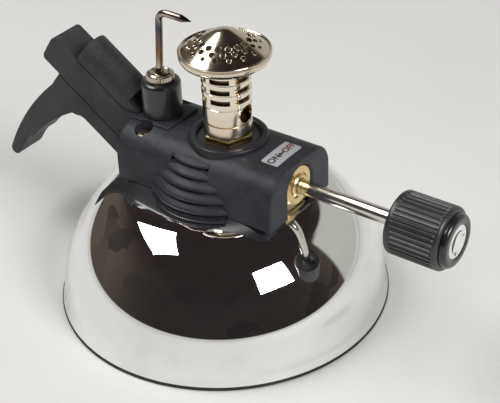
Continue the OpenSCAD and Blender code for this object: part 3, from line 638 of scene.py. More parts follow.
@dataclass(frozen=True)
class Glossy(Finish):
    """Smooth glossy plastic or glaze."""

    rough: float = 0.12
    coat: float = 0.6

    def dress(self, shade: Shade) -> None:
        """Clear gloss with fingerprints and a slight orange peel."""
        where = shade.place()
        smear = shade.noise(where, 0.5, 4, 0.6).ramp(0.45, 0.8)
        peel = shade.noise(where, 1.6, 1)
        shade.surface(base_color=shade.blend(smear, self.tint, self.tone(1.15, 0.004)), coat_weight=self.coat,
                      roughness=self.rough + 0.12 * smear, coat_roughness=0.06,
                      normal=shade.bump(peel, 0.02, 0.2))


@dataclass(frozen=True)
class Rubber(Finish):
    """Dull rubber."""

    rough: float = 0.75

    def dress(self, shade: Shade) -> None:
        """Dull surface with pale bloom and fine pits."""
        where = shade.place()
        bloom = shade.noise(where, 0.3, 4).ramp(0.5, 0.8)
        pits = shade.noise(where, 3.0, 2)
        shade.surface(base_color=shade.blend(bloom * 0.4, self.tint, self.tone(1, 0.06)),
                      roughness=self.rough + 0.1 * pits, normal=shade.bump(pits, 0.04, 0.4))


@dataclass(frozen=True)
class Paper(Finish):
    """White cloth or paper of the table."""

    rough: float = 0.85

    def dress(self, shade: Shade) -> None:
        """Pale surface with a faint weave and soft clouds."""
        where = shade.place()
        weave = shade.noise(shade.place(scale=(1, 0.25, 1)), 0.9, 2) * 0.5 \
            + shade.noise(shade.place(scale=(0.25, 1, 1)), 0.9, 2) * 0.5
        cloud = shade.noise(where, 0.012, 3)
        pale = shade.blend(cloud.ramp(0.3, 0.7), self.tint, self.tone(0.96))
        shade.surface(base_color=shade.blend(weave.ramp(0.35, 0.65) * 0.25, pale, self.tone(0.94)),
                      roughness=self.rough, normal=shade.bump(weave, 0.12, 0.25))


class Finishes:
    """The finishes of the burner, by the record's material slots."""

    chrome = Plating("plated_dome", (0.86, 0.865, 0.86), 0.02, 0.03)
    foot_rubber = Rubber("foot_rubber", (0.02, 0.02, 0.02))
    plate_steel = Turned("plate_steel", (0.55, 0.55, 0.56), (0.4, 0.38, 0.36), 0.3)
    brass = Turned("turned_brass", (0.88, 0.69, 0.36), (0.55, 0.36, 0.14), 0.3, "X", 4.0, 0.66, 0.95)
    nut_brass = Turned("nut_brass", (0.52, 0.39, 0.18), (0.3, 0.2, 0.08), 0.25)
    seal_rubber = Rubber("seal_rubber", (0.02, 0.02, 0.02))
    spring_steel = Turned("spring_steel", (0.5, 0.5, 0.52), (0.35, 0.33, 0.3), 0.3)
    spindle_steel = Turned("spindle_steel", (0.80, 0.76, 0.71), (0.6, 0.55, 0.5), 0.2, "X", 3.0, 0.7, 1.0,
                           0.0003)
    # In the Moulded finishes, the number after the gloss is the lift of the painted glints on the grain
    # crests.
    knob_plastic = Moulded("knob_plastic", (0.03, 0.03, 0.032), 0.36, 2.5, 0.03, 0.6, 1.6)
    ring_plastic = Glossy("ring_plastic", (0.012, 0.012, 0.013), 0.25, 0.3)
    disc_plastic = Glossy("disc_plastic", (0.72, 0.72, 0.70), 0.3, 0.2)
    tube_nickel = HeatTinted("tube_nickel", (0.84, 0.77, 0.66), (0.62, 0.44, 0.26), 0.11, 62.0, 50.0, 0.4,
                             core=5.6, inside=(0.7, 0.5, 0.24))
    cap_nickel = HeatTinted("cap_nickel", (0.74, 0.66, 0.55), (0.5, 0.38, 0.25), 0.13, 70.0, 82.0, 0.3)
    sleeve_metal = Turned("sleeve_metal", (0.16, 0.12, 0.08), (0.1, 0.07, 0.04), 0.3)
    gauze_steel = Turned("gauze_steel", (0.3, 0.28, 0.25), (0.15, 0.13, 0.1), 0.4)
    collar_paint = Moulded("collar_paint", (0.022, 0.022, 0.025), 0.36, 2.4, 0.02, 0.28, 1.6)
    housing_plastic = Moulded("housing_plastic", (0.033, 0.034, 0.042), 0.45, 1.8, 0.09, 0.22)
    arm_plastic = Moulded("arm_plastic", (0.039, 0.039, 0.043), 0.46, 1.8, 0.06, 0.22)
    screw_steel = Turned("screw_steel", (0.55, 0.47, 0.33), (0.25, 0.2, 0.15), 0.3)
    label_foil = Turned("label_foil", (0.62, 0.64, 0.66), (0.54, 0.56, 0.58), 0.4, "X", 3.0, metal=0.15)
    electrode_steel = Tempered("electrode_steel", (0.5, 0.42, 0.33))
    ferrule_nickel = Turned("ferrule_nickel", (0.6, 0.54, 0.46), (0.24, 0.18, 0.12), 0.16, stain_low=0.5,
                            stain_high=0.75)
    insulator_glaze = Glossy("insulator_glaze", (0.02, 0.0195, 0.023), 0.28, 0.4)
    piezo_plastic = Moulded("piezo_plastic", (0.7, 0.68, 0.62), 0.5, tops=1.1)
    lead_plastic = Moulded("lead_plastic", (0.03, 0.03, 0.032), 0.45, tops=1.2)
    print_dark = Rubber("print_dark", (0.03, 0.03, 0.035), 0.5)
    print_red = Rubber("print_red", (0.2, 0.05, 0.045), 0.5)
    table = Paper("table_cloth", (0.81, 0.805, 0.78))


@dataclass
class Tank:
    """Domed tank with its flared rim and foot ring."""

    wall: float = 44.2
    rim: float = 45.0
    height: float = 33.9
    wall_r: float = 38.6
    shoulder_r: float = 16.0
    sheet: float = 1.2
    neck: float = 6.04
    foot: float = 0.9
    foot_in: float = 42.1
    foot_lip: float = 42.9
    flare: float = 0.55
    flare_h: float = 2.0

    def section(self, inset: float) -> list[Point]:
        """Shoulder and wall as two tangent arcs, from the top down.

        Args:
            inset: How far the line lies inside the outer face.

        Returns:
            Points as radius and height.
        """
        centre = (self.wall - self.wall_r, self.foot)
        lean = math.asin((self.height - self.foot - self.shoulder_r) / (self.wall_r - self.shoulder_r))
        reach = self.wall_r - self.shoulder_r
        shoulder = (centre[0] + reach * math.cos(lean), centre[1] + reach * math.sin(lean))
        line = arc(shoulder, self.shoulder_r - inset, 90, math.degrees(lean), 40)
        return line + arc(centre, self.wall_r - inset, math.degrees(lean), 0, 60)[1:]

    def dome(self) -> Form:
        """Pressed dome with a slightly flared rim."""
        outer = [(r, self.height) for r in (self.neck, 12.0, 16.0)]
        for r, z in self.section(0):
            low = max(0.0, 1 - (z - self.foot) / self.flare_h)
            outer.append((r + self.flare * low, z))
        edge = outer.pop()
        outer += [(edge[0] - 0.02, edge[1] + 0.12), (edge[0] - 0.12, edge[1])]
        inner = self.section(self.sheet)[::-1] + [(self.neck, self.height - self.sheet)]
        return Form.revolve(outer + inner, 240)

    def foot_ring(self) -> Form:
        """Ring that the tank stands on, with its inner lip."""
        half = self.foot / 2
        round_edge = arc((self.rim - half, half), half, -90, 90, 8)
        top = self.foot + 2
        lip = [(self.foot_lip, self.foot), (self.foot_lip, top), (self.foot_in, top)]
        return Form.revolve([(self.foot_in, 0)] + round_edge + lip, 180)

    def build(self) -> None:
        """Make the tank's pieces."""
        self.dome().piece("tank_dome", "chrome", "tank_shell", sharp=50)
        self.foot_ring().piece("tank_foot", "foot_rubber", "foot_ring")


@dataclass
class Housing:
    """Arched housing with its ribbed grip, rear cover, screws and label."""

    half: float = 13.4
    top: float = 48.4
    bottom: float = 34.0
    front: float = 25.5
    back: float = -23.4
    wall: float = 1.8
    top_r: float = 100.0
    corner_r: float = 7.0
    mouth_half: float = 5.4
    seam_z: float = 44.2
    cover_x: float = -11.1
    deck_z: float = 48.9
    deck_half: float = 6.4
    deck_thick: float = 0.8
    deck_back: float = -28.1
    screw_y: float = 8.1
    ribs: int = 5
    rib_top: float = 45.7
    rib_pitch: float = 2.65
    rib_close: float = 0.135
    rib_deep: float = 1.5
    grip_r: float = 18.3
    grip_fall: float = 5.4
    bridge_half: float = 1.0
    bridge_top: float = 52.7
    bridge_reach: float = 9.3
    pocket: Point = (-6.0, 6.0)
    pocket_y: float = 11.3
    pocket_z: float = 44.5
    seam: float = 0.03
    deck_root: float = 45.2
    bore_r: float = 2.5
    bore_z: Point = (45.6, 52)
    cross_z: Point = (45.9, 48)
    screw_head: tuple[Point, ...] = ((0, 45.64), (1.95, 45.64), (1.95, 46.0), (1.8, 46.25), (1.3, 46.43),
                                     (0.6, 46.5), (0, 46.5))
    screw_shaft: tuple[Point, ...] = ((0, 38.2), (1.25, 38.2), (1.25, 45.7), (0, 45.7))

    def path(self, inset: float = 0, bottom: Optional[float] = None) -> list[Point]:
        """Arch line from the left foot over the top to the right foot.

        Args:
            inset: How far the line lies inside the outer face.
            bottom: Height of the feet.

        Returns:
            Points as Y and Z.
        """
        low = self.bottom if bottom is None else bottom
        side = self.half - self.corner_r
        rise = math.sqrt((self.top_r - self.corner_r) ** 2 - side ** 2)
        crown = (0.0, self.top - self.top_r)
        corner = crown[1] + rise
        lean = math.degrees(math.atan2(rise, side))
        line = [(-self.half + inset, low)]
        line += arc((-side, corner), self.corner_r - inset, 180, 180 - lean, 14)[:-1]
        line += arc(crown, self.top_r - inset, 180 - lean, lean, 22)
        line += arc((side, corner), self.corner_r - inset, lean, 0, 14)[1:]
        return line + [(self.half - inset, low)]

    def sleeve(self, start: float, stop: float) -> Form:
        """Arched wall, open below and at both ends."""
        outline = self.path() + self.path(self.wall)[::-1]
        return Form.prism(outline, start, stop, Lay.ALONG_X.value)

    def face(self) -> Form:
        """Front wall with the valve's opening."""
        m, z = self.mouth_half, Valve.z
        mouth = [(m, self.bottom)] + arc((0, z), m, 0, 180, 24) + [(-m, self.bottom)]
        form = Form.prism(self.path() + mouth, self.front - self.wall, self.front, Lay.ALONG_X.value)
        return form.bevel(0.7, 3, 40, lambda c: c.x > self.front - 0.01 and c.z > self.bottom + 0.1)

    def grip_at(self, z: float) -> float:
        """Radius of the grip at a height."""
        return self.grip_r - self.grip_fall * ((z - self.bottom) / (self.rib_top - self.bottom)) ** 2

    def rib_z(self, i: float) -> float:
        """Height of one rib's ridge, or of a place between two ribs."""
        return self.rib_top - i * (self.rib_pitch - self.rib_close * (self.ribs - 1 - i))

    def grip(self) -> Form:
        """Ribbed bell round the tank's axis, with round ribs and narrow grooves."""
        profile: list[Point] = [(13.0, self.bottom)]
        strips = 12
        for k in range(strips * self.ribs):
            i = self.ribs - 0.5 - k / strips
            z = self.rib_z(i)
            if z > self.bottom + 0.02:
                away = abs((i + 0.5) % 1 - 0.5) * 2
                profile.append((self.grip_at(z) - self.rib_deep * away ** 1.7, z))
        lid = self.rib_top + 1
        profile += [(self.grip_at(lid) - self.rib_deep - 0.4, lid + 0.05), (8.0, lid + 0.05)]
        return Form.revolve(profile, 144)

    def body(self) -> Form:
        """Whole lower housing."""
        form = self.sleeve(self.cover_x, self.front - self.wall)
        for side in (-1, 1):
            edge = (side * self.pocket_y, side * (self.half + 1))
            form.cut(Form.block(self.pocket, edge, (self.pocket_z, self.top)))
        form.add(self.face()).add(self.grip())
        high, up = (0, 0, self.seam_z - self.seam), (0, 0, 1)
        form.add(self.sleeve(self.back + self.wall, self.cover_x).keep(high, up))
        back = Form.prism(self.path(), self.back, self.back + self.wall, Lay.ALONG_X.value)
        return form.add(back.keep(high, up).bevel(0.6, 2, 40, lambda c: c.x < self.back + 0.01))

    def cover(self) -> Form:
        """Rear cover with its platform, the platform's tail and two counterbores."""
        x = self.cover_x - 0.06
        low = (0, 0, self.seam_z + self.seam)
        form = Form.prism(self.path(), self.back, x, Lay.ALONG_X.value).keep(low, (0, 0, -1))
        form.bevel(0.5, 2, 40, lambda c: c.x < self.back + 0.01)
        h, tip = self.deck_half, Arm.half + 0.08
        deck = Form.block((self.back - 0.02, x - 0.01), (-h, h), (self.deck_root, self.deck_z))
        form.combine(deck.bevel(0.3, 3, 40, lambda c: c.z > self.deck_root + 0.8), "UNION")
        for side in (-1, 1):
            form.cut(Form.rod(self.bore_r, *self.bore_z, 40).shift(Electrode.x, side * self.screw_y))
        tail = Form.prism([(self.deck_back, -tip), (self.back + 1, 0.3 - h), (self.back + 1, h - 0.3),
                           (self.deck_back, tip)], self.deck_z - self.deck_thick, self.deck_z - 0.01)
        tail.bevel(0.25, 2, 40, lambda c: c.z > self.deck_z - 0.1)
        bridge = Form.block((Electrode.x - self.bridge_reach, Electrode.x),
                            (-self.bridge_half, self.bridge_half), (self.deck_z - 0.5, self.bridge_top))
        return form.add(tail).add(bridge.bevel(*BROKEN_EDGE))

    def screw(self, side: int) -> Form:
        """Cover screw with a rounded head and a cross recess."""
        form = Form.revolve(self.screw_head, 48)
        for turn in (20, 110):
            form.cut(Form.block((-1.3, 1.3), (-0.28, 0.28), self.cross_z).turn(turn))
        form.add(Form.revolve(self.screw_shaft, 24))
        return form.shift(Electrode.x, side * self.screw_y)

    def build(self) -> None:
        """Make the housing's pieces."""
        for name, form, node in (("housing_body", self.body(), "housing"),
                                 ("rear_cover_body", self.cover(), "rear_cover")):
            form.piece(name, "housing_plastic", node, sharp=MOULDED_SHARP, weighted=True)
        self.screw(-1).add(self.screw(1)).piece("cover_screws", "screw_steel", "cover_screw")


@dataclass
class Label:
    """Curved foil label with the two generic words and an arrow."""

    x: float = 19.9
    width: float = 5.0
    length: float = 11.0
    radius: float = 100.02
    thick: float = 0.15
    axis_z: float = -51.6
    ink: float = 0.03
    bold: float = 0.08
    capital: float = 0.7
    corner: float = 0.5
    on_at: Point = (-3.1, 0)
    on_size: float = 1.9
    off_at: Point = (3.2, 0)
    off_size: float = 1.8

    def wrap(self, u: float, v: float, lift: float) -> Vector:
        """Place a point of the flat label on the curved top.

        Args:
            u: Along the label, from the near end.
            v: Across the label, away from the knob.
            lift: Height over the foil's back.

        Returns:
            The point round the tank's axis.
        """
        turn = u / self.radius
        r = self.radius + lift
        return Vector((self.x - v, r * math.sin(turn), self.axis_z + r * math.cos(turn)))

    def foil(self) -> Form:
        """The bare foil with rounded corners."""
        half_u, half_v = self.length / 2, self.width / 2
        r = self.corner
        outline: list[Point] = []
        for su, sv, start in ((1, 1, 0), (-1, 1, 90), (-1, -1, 180), (1, -1, 270)):
            outline += arc((su * (half_u - r), sv * (half_v - r)), r, start, start + 90, 5)
        form = Form.prism(outline, 0, self.thick)
        for i in range(-10, 11):
            bm = form.mesh
            bmesh.ops.bisect_plane(bm, geom=bm.verts[:] + bm.edges[:] + bm.faces[:],
                                   plane_co=(i * half_u / 11, 0, 0), plane_no=(1, 0, 0))
        for vert in form.mesh.verts:
            vert.co = self.wrap(*vert.co)
        return form.close()

    def printed(self, form: Form) -> Form:
        """Wrap a flat print of U, V and lift onto the foil."""
        edges = [e for e in form.mesh.edges if e.calc_length() > 0.6]
        bmesh.ops.subdivide_edges(form.mesh, edges=edges, cuts=2)
        for vert in form.mesh.verts:
            vert.co = self.wrap(vert.co.x, vert.co.y, self.thick + vert.co.z)
        return form

    def word(self, text: str, centre: Point, size: float) -> Form:
        """A generic word, read from the knob's side.

        Args:
            text: The word.
            centre: Its middle on the label.
            size: Height of its letters.

        Returns:
            The wrapped letters.
        """
        curve = bpy.data.curves.new("word", "FONT")
        curve.body = text
        curve.size = size / self.capital
        curve.align_x = curve.align_y = "CENTER"
        curve.extrude = self.ink / 2
        curve.offset = self.bold
        holder = link("word", curve)
        mesh = final_mesh(holder)
        form = Form()
        form.mesh.from_mesh(mesh)
        bpy.data.objects.remove(holder)
        bpy.data.curves.remove(curve)
        bpy.data.meshes.remove(mesh)
        return self.printed(form.shift(centre[0], centre[1], self.ink / 2))

    def arrow(self) -> Form:
        """A plain arrow towards the first word."""
        outline = [(-1.15, 0), (-0.3, 0.75), (-0.3, 0.28), (0.95, 0.28), (0.95, -0.28), (-0.3, -0.28),
                   (-0.3, -0.75)]
        return self.printed(Form.prism(outline, 0, self.ink))

    def build(self) -> None:
        """Make the label and its print."""
        self.foil().piece("label_foil", "label_foil", "label", sharp=30)
        words = self.word("ON", self.on_at, self.on_size).add(self.arrow())
        words.piece("label_print_on", "label_foil", finish=Finishes.print_dark)
        off = self.word("OFF", self.off_at, self.off_size)
        off.piece("label_print_off", "label_foil", finish=Finishes.print_red)


@dataclass
class Burner:
    """Collar, nut, slotted tube, sleeve and cap."""

    x: float = 3.6
    tube_r: float = 6.25
    tube_t: float = 0.8
    tube_z: float = 50.7
    tube_top: float = 71.7
    air_r: float = 2.5
    air_z: float = 56.8
    groove_z: float = 54.1
    line_z: float = 58.9
    slot_rows: Triple = (61.2, 64.1, 67.0)
    slot_h: float = 1.4
    slot_n: int = 6
    slot_bar: float = 1.3
    slot_turn: float = -40.0
    nut_flat: float = 11.8
    nut_z: Point = (48.3, 50.66)
    nut_bore: float = 4.84
    sleeve_z: float = 59.3
    sleeve_t: float = 0.6
    sleeve_gap: float = 0.15
    cone_top: float = 78.3
    cone_start: float = 2.47
    burr: float = 0.06
    flank: tuple[Point, ...] = ((4.5, 77.12), (6.6, 75.92), (8.7, 74.65), (10.75, 73.35), (10.95, 73.22))
    band: tuple[Point, ...] = ((11.35, 72.65), (11.62, 72.55), (11.7, 72.3), (11.66, 71.9), (11.5, 71.4),
                               (11.2, 70.9), (10.7, 70.5), (10.15, 70.3))
    under: tuple[Point, ...] = ((6.35, 70.3), (6.35, 71.75), (9.4, 71.75), (9.75, 72.4), (9.75, 72.75),
                                (2.2, 77.05), (0, 77.7))
    holes: int = 16
    hole_rings: tuple[Point, ...] = ((6.2, 0.8), (7.6, 0.68), (9.0, 0.55))
    cone: float = 29.6

    def collar(self) -> Form:
        """Dark ring with a rounded rim and a recess."""
        profile = [(5.1, 46.94), (10.3, 46.94)] + arc((9.6, 48.8), 0.7, 0, 90, 8)
        profile += [(9.0, 49.45), (8.75, 49.2), (8.5, 49.1), (8.5, 48.26), (5.1, 48.26)]
        return Form.revolve(profile, 120)

    def nut(self) -> Form:
        """Hexagon nut with broken edges."""
        corner = self.nut_flat / math.sqrt(3)
        form = Form.prism(arc((0, 0), corner, 7, 307, 5), *self.nut_z).bevel(*BROKEN_EDGE)
        return form.cut(Form.rod(self.nut_bore, self.nut_z[0] - 1.3, self.nut_z[1] + 1.34, 64))

    def tube(self) -> Form:
        """Tube with its groove, line, slots and air holes."""
        r, i = self.tube_r, self.tube_r - self.tube_t
        profile = [(i, self.tube_z), (r - 0.15, self.tube_z), (r, self.tube_z + 0.15)]
        for z, half, deep in ((self.groove_z + 0.25, 0.25, 0.3), (self.line_z + 0.1, 0.12, 0.12)):
            profile += [(r, z - half - 0.05), (r - deep, z - half + 0.05), (r - deep, z + half - 0.05),
                        (r, z + half + 0.05)]
        for row in self.slot_rows:
            low, high = row + self.slot_h / 2 + 0.25, row + self.slot_h / 2 + 1.2
            profile += [(r, low), (r + 0.15, low + 0.12), (r + 0.15, high), (r, high + 0.12)]
        profile += [(r, self.tube_top), (i, self.tube_top)]
        form = Form.revolve(profile, 144)
        bar = math.degrees(self.slot_bar / r)
        span = 360 / self.slot_n
        for row in self.slot_rows:
            low, high = row - self.slot_h / 2, row + self.slot_h / 2
            cutters = Form()
            for k in range(self.slot_n):
                start = span * k + self.slot_turn + bar / 2
                section = [(4.6, low), (8.0, low), (8.0, high), (4.6, high)]
                cutters.add(Form.revolve(section, 20, span - bar, start))
            form.cut(cutters)
        for side in (1, -1):
            form.cut(Form.rod(self.air_r, 0, 9, 48).turn(90 * side, "Y").shift(z=self.air_z))
        return form

    def sleeve(self) -> Form:
        """Inner sleeve that shows through the slots."""
        outer = self.tube_r - self.tube_t - self.sleeve_gap
        inner, low, high = outer - self.sleeve_t, self.sleeve_z, self.tube_top
        return Form.revolve([(inner, low), (outer, low), (outer, high), (inner, high)], 96)

    def cap(self) -> Form:
        """Mushroom cap: round crown, flat cone with rings of holes, and a lip over its rolled band."""
        crown = arc((0, 73.9), 5.0, 90, 90 - self.cone - 0.8, 8)
        lip = arc((11.42, 73.1), 0.33, 150, -80, 10)
        form = Form.revolve([*crown, *self.flank, *lip, *self.band, *self.under], 168)
        burrs = Form()
        for ring, (radius, hole) in enumerate(self.hole_rings):
            top = self.cone_top - (radius - self.cone_start) * math.tan(math.radians(self.cone))
            cutters = Form()
            for k in range(self.holes):
                stray = 0.06 * math.sin(7.3 * k + 2.1 * ring)
                turn = 360 * (k + 0.5 * ring + stray) / self.holes
                rim = arc((hole + self.burr / 2, 0), self.burr, 0, 315, 7)
                for shape, into in ((Form.rod(hole, -2.4, 2, 20), cutters), (Form.revolve(rim, 20), burrs)):
                    into.add(shape.turn(self.cone, "Y").shift(x=radius + 0.5 * stray, z=top).turn(turn))
            form.cut(cutters)
        return form.add(burrs)

    def build(self) -> None:
        """Make the burner's pieces."""
        for name, form, slot, node, finish in (
                ("burner_collar", self.collar(), "collar_paint", "collar", None),
                ("burner_hex_nut", self.nut(), "brass", "burner_nut", Finishes.nut_brass),
                ("burner_slotted_tube", self.tube(), "tube_nickel", "burner_tube", None),
                ("burner_inner_sleeve", self.sleeve(), "sleeve_metal", "burner_sleeve", None),
                ("burner_mushroom_cap", self.cap(), "cap_nickel", "burner_cap", None)):
            form.shift(x=self.x).piece(name, slot, node, sharp=40, finish=finish)


@dataclass
class Electrode:
    """Insulator, ferrule and pointed wire."""

    x: float = -17.9
    base: float = Housing.deck_z
    post_r: float = 5.3
    post_h: float = 9.8
    ferrule_r: float = 3.7
    ferrule_h: float = 3.2
    wire_r: float = 0.95
    top: float = 78.2
    bend: float = 2.6
    tip: float = -6.4
    knurls: int = 30
    lean: float = 1.0
    wire_foot: float = 51.4
    point_len: float = 3.2
    point_step: float = 0.8
    point: tuple[float, ...] = (0.82, 0.7, 0.55, 0.2)
    bend_steps: int = 10

    def post(self) -> Form:
        """Glazed post with a rounded top."""
        z0, z1, r = self.base + 0.04, self.base + self.post_h, self.post_r
        profile = [(0, z0), (r - 0.2, z0), (r, z0 + 0.2)]
        profile += arc((r - 1.2, z1 - 1.2), 1.2, 0, 90, 10) + [(0, z1)]
        return Form.revolve(profile, 96).shift(self.x)

    def ferrule(self) -> Form:
        """Knurled ring with a narrower dome over it."""
        z0 = self.base + self.post_h + 0.04
        waist = z0 + 1.7
        count = 4 * self.knurls
        outline = []
        for k in range(count):
            r = self.ferrule_r - (0.28 if k % 4 == 0 else 0.0 if k % 4 == 2 else 0.1)
            outline.append(arc((0, 0), r, 360 * k / count, 360, 1)[0])
        form = Form.prism(outline, z0, waist).bevel(0.12, 2, 60, lambda c: c.z > waist - 0.01)
        high = z0 + self.ferrule_h
        dome = [(r, waist + rise) for r, rise in (
            (0.97, -0.1), (3.2, -0.1), (3.15, 0.2), (2.9, 0.4), (2.5, 0.45), (2.2, 0.3), (1.75, 0.35))]
        dome += [(1.4, high - 0.15), (1.3, high), (0.97, high)]
        return form.add(Form.revolve(dome, 72)).shift(self.x)

    def wire(self) -> Form:
        """Wire that rises, bends towards the cap and ends in a point."""
        form = Form()
        bm = form.mesh
        ring = bmesh.ops.create_circle(bm, cap_ends=True, segments=24, radius=self.wire_r)["verts"]
        bmesh.ops.translate(bm, verts=ring, vec=(self.x, 0, self.wire_foot))
        face = bm.faces[:][0]

        def extrude() -> list[bmesh.types.BMVert]:
            """Extrude the leading face in place and give its new corners."""
            nonlocal face
            out = bmesh.ops.extrude_face_region(bm, geom=[face])["geom"]
            face = next(g for g in out if isinstance(g, bmesh.types.BMFace))
            return [g for g in out if isinstance(g, bmesh.types.BMVert)]

        def grow(move: Triple, size: float = 1.0) -> None:
            """Extrude and move the leading face and shrink it about its middle."""
            verts = extrude()
            bmesh.ops.translate(bm, verts=verts, vec=move)
            if size != 1.0:
                middle = face.calc_center_median()
                bmesh.ops.scale(bm, verts=verts, vec=(size,) * 3, space=Matrix.Translation(-middle))

        ferrule_top = self.base + self.post_h + self.ferrule_h
        grow((0, 0, ferrule_top - self.wire_foot))
        grow((self.lean, 0, self.top - self.bend - ferrule_top))
        pivot = (self.x + self.lean + self.bend, 0, self.top - self.bend)
        turn = Matrix.Rotation(math.radians(90 / self.bend_steps), 3, "Y")
        for _ in range(self.bend_steps):
            bmesh.ops.rotate(bm, verts=extrude(), cent=pivot, matrix=turn)
        grow((self.tip - pivot[0] - self.point_len, 0, -0.1))
        for size in self.point:
            grow((self.point_step, 0, -0.02), size)
        return form.close()

    def build(self) -> None:
        """Make the electrode's pieces."""
        self.post().piece("electrode_post", "insulator_glaze", "electrode_insulator")
        self.ferrule().piece("electrode_knurled_ferrule", "ferrule_nickel", "electrode_ferrule")
        self.wire().piece("electrode_pointed_wire", "electrode_steel", "electrode_wire")


@dataclass
class Arm:
    """Inclined igniter arm with its head, ridge and trigger."""

    tilt: float = 34.1
    half: float = 5.2
    bar_lo: float = 16.3
    bar_hi: float = 25.0
    start: float = 37.0
    end: float = 77.8
    head_r: float = 1.5
    ridge_r: float = 4.9
    ridge_n: float = 27.3
    ridge_lo: float = 50.2
    ridge_hi: float = 68.6
    ridge_gap: float = 0.2
    neck_in: float = 0.4
    neck_deep: float = 1.2
    thumb_r: float = 8.6
    thumb_deep: float = 1.2
    strip_lo: float = 10.4
    strip_hi: float = 16.0
    strip_start: float = 42.0
    strip_end: float = 71.2
    strip_half: float = 4.95
    hook_out_r: float = 80.0
    hook_out_n: float = -10.5
    hook_in_r: float = 59.0
    hook_in_n: float = -19.7
    hook_root: float = 10.2
    hook_step: float = 0.9
    hook_step_n: float = -12.2
    hook_tip_n: float = -22.2
    slot: tuple[Point, ...] = ((48.7, 17.4), (48.5, 17.85), (46.3, 19.4), (46.5, 18.95))
    slot_deep: float = 0.8
    root_x: Point = (-27.9, -23.5)
    root_z: Point = (44.5, 48.6)
    ramp: tuple[Point, ...] = ((-27.9, 48.4), (-25.5, 51.9), (-22.7, 49.3), (-22.7, 48.4))
    posts: tuple[tuple[Point, float], ...] = (((43.0, 46.0), 22.0), ((68.2, 70.6), 18.6))
    post_lo: float = 15.5
    post_half: float = 1.4
    wing_n: Point = (17.8, 18.6)
    wing_half: float = 2.8

    def lay(self) -> Matrix:
        """Placing of a drawing along the arm and square to it, with depth across."""
        t = math.radians(self.tilt)
        c, s = math.cos(t), math.sin(t)
        return Matrix(((-c, s, 0, 0), (0, 0, 1, 0), (s, c, 0, 0), (0, 0, 0, 1)))

    def bar(self) -> Form:
        """Bar with a rounded head and a thumb dish."""
        r = self.head_r
        outline = [(self.start, self.bar_lo)] + arc((self.end - r, self.bar_lo + r), r, -90, 0, 6)
        outline += arc((self.end - r, self.bar_hi - r), r, 0, 90, 6) + [(self.start, self.bar_hi)]
        form = Form.prism(outline, -self.half, self.half)
        form.bevel(*MOULDED_EDGE)
        dish = Form.rod(self.thumb_r, self.ridge_hi + 0.8, self.end + 3, 72).place(Lay.ALONG_X.value)
        form.cut(dish.shift(y=self.bar_hi + self.thumb_r - self.thumb_deep))
        form.cut(Form.prism(self.slot, -self.half - 1, self.slot_deep - self.half))
        flat = self.lay().inverted()
        root = Form.block(self.root_x, (-self.half, self.half), self.root_z)
        form.combine(root.place(flat), "UNION")
        ramp = Form.prism(self.ramp, -self.ridge_r, self.ridge_r, Lay.SIDE.value)
        return form.add(ramp.place(flat))

    def ridge(self) -> Form:
        """Half-round ridge over the bar."""
        neck, r, n = self.ridge_r - self.neck_in, self.ridge_r, self.bar_hi + self.ridge_gap
        low = n - self.neck_deep
        outline = [(-r, n), (-neck, n), (-neck, low), (neck, low), (neck, n), (r, n)]
        outline += arc((0, self.ridge_n), r, 0, 180, 32)
        form = Form.prism(outline, self.ridge_lo, self.ridge_hi, Lay.ENDWISE.value).bevel(*MOULDED_EDGE)
        room = Form.rod(Electrode.post_r + 0.15, 44, 60, 64).shift(x=Electrode.x)
        return form.cut(room.place(self.lay().inverted()))

    def hook_line(self) -> list[Point]:
        """Outline of the trigger along the arm and square to it."""
        lo = self.strip_lo
        out_s = self.strip_end + 0.3 - math.sqrt(self.hook_out_r ** 2 - (lo - self.hook_out_n) ** 2)
        in_s = self.strip_end - self.hook_root - math.sqrt(self.hook_in_r ** 2 - (lo - self.hook_in_n) ** 2)

        def outer(n: float) -> Point:
            """Point of the outer arc at a distance from the arm."""
            return (out_s + math.sqrt(self.hook_out_r ** 2 - (n - self.hook_out_n) ** 2), n)

        def inner(n: float, step: float = 0) -> Point:
            """Point of the inner arc at a distance from the arm."""
            return (in_s + math.sqrt((self.hook_in_r + step) ** 2 - (n - self.hook_in_n) ** 2), n)

        tip, step = self.hook_tip_n, self.hook_step_n
        line = [(self.strip_start, self.strip_hi), (self.strip_end, self.strip_hi)]
        line += [outer(lo + (tip - lo) * i / 20) for i in range(21)]
        middle = ((line[-1][0] + inner(tip, self.hook_step)[0]) / 2, tip)
        radius = (line[-1][0] - inner(tip, self.hook_step)[0]) / 2
        line += arc(middle, radius, 0, -180, 10)[1:-1]
        line += [inner(tip + (step - 0.3 - tip) * i / 6, self.hook_step) for i in range(7)]
        line += [inner(step + 0.3 + (lo - 2.2 - step - 0.3) * i / 14) for i in range(15)]
        root = inner(lo)
        line += [(root[0] - 0.6, lo - 1.2), (root[0] - 1.5, lo - 0.4), (root[0] - 3.0, lo)]
        return line + [(self.strip_start, lo)]

    def trigger(self) -> Form:
        """Strip with its curved finger hook and its two posts."""
        form = Form.prism(self.hook_line(), -self.strip_half, self.strip_half).bevel(0.45, 3, 60)
        for span, tall in self.posts:
            form.add(Form.block(span, (self.post_lo, tall), (-self.post_half, self.post_half)))
            form.add(Form.block(span, self.wing_n, (-self.wing_half, self.wing_half)))
        return form

    def build(self) -> None:
        """Make the arm's pieces."""
        for name, form, body, node in (
                ("igniter_arm", self.bar().add(self.ridge()), Body.BURNER, "igniter_case"),
                ("finger_trigger", self.trigger(), Body.TRIGGER, "trigger")):
            form.place(self.lay()).close().piece(name, "arm_plastic", node, body, MOULDED_SHARP, True)


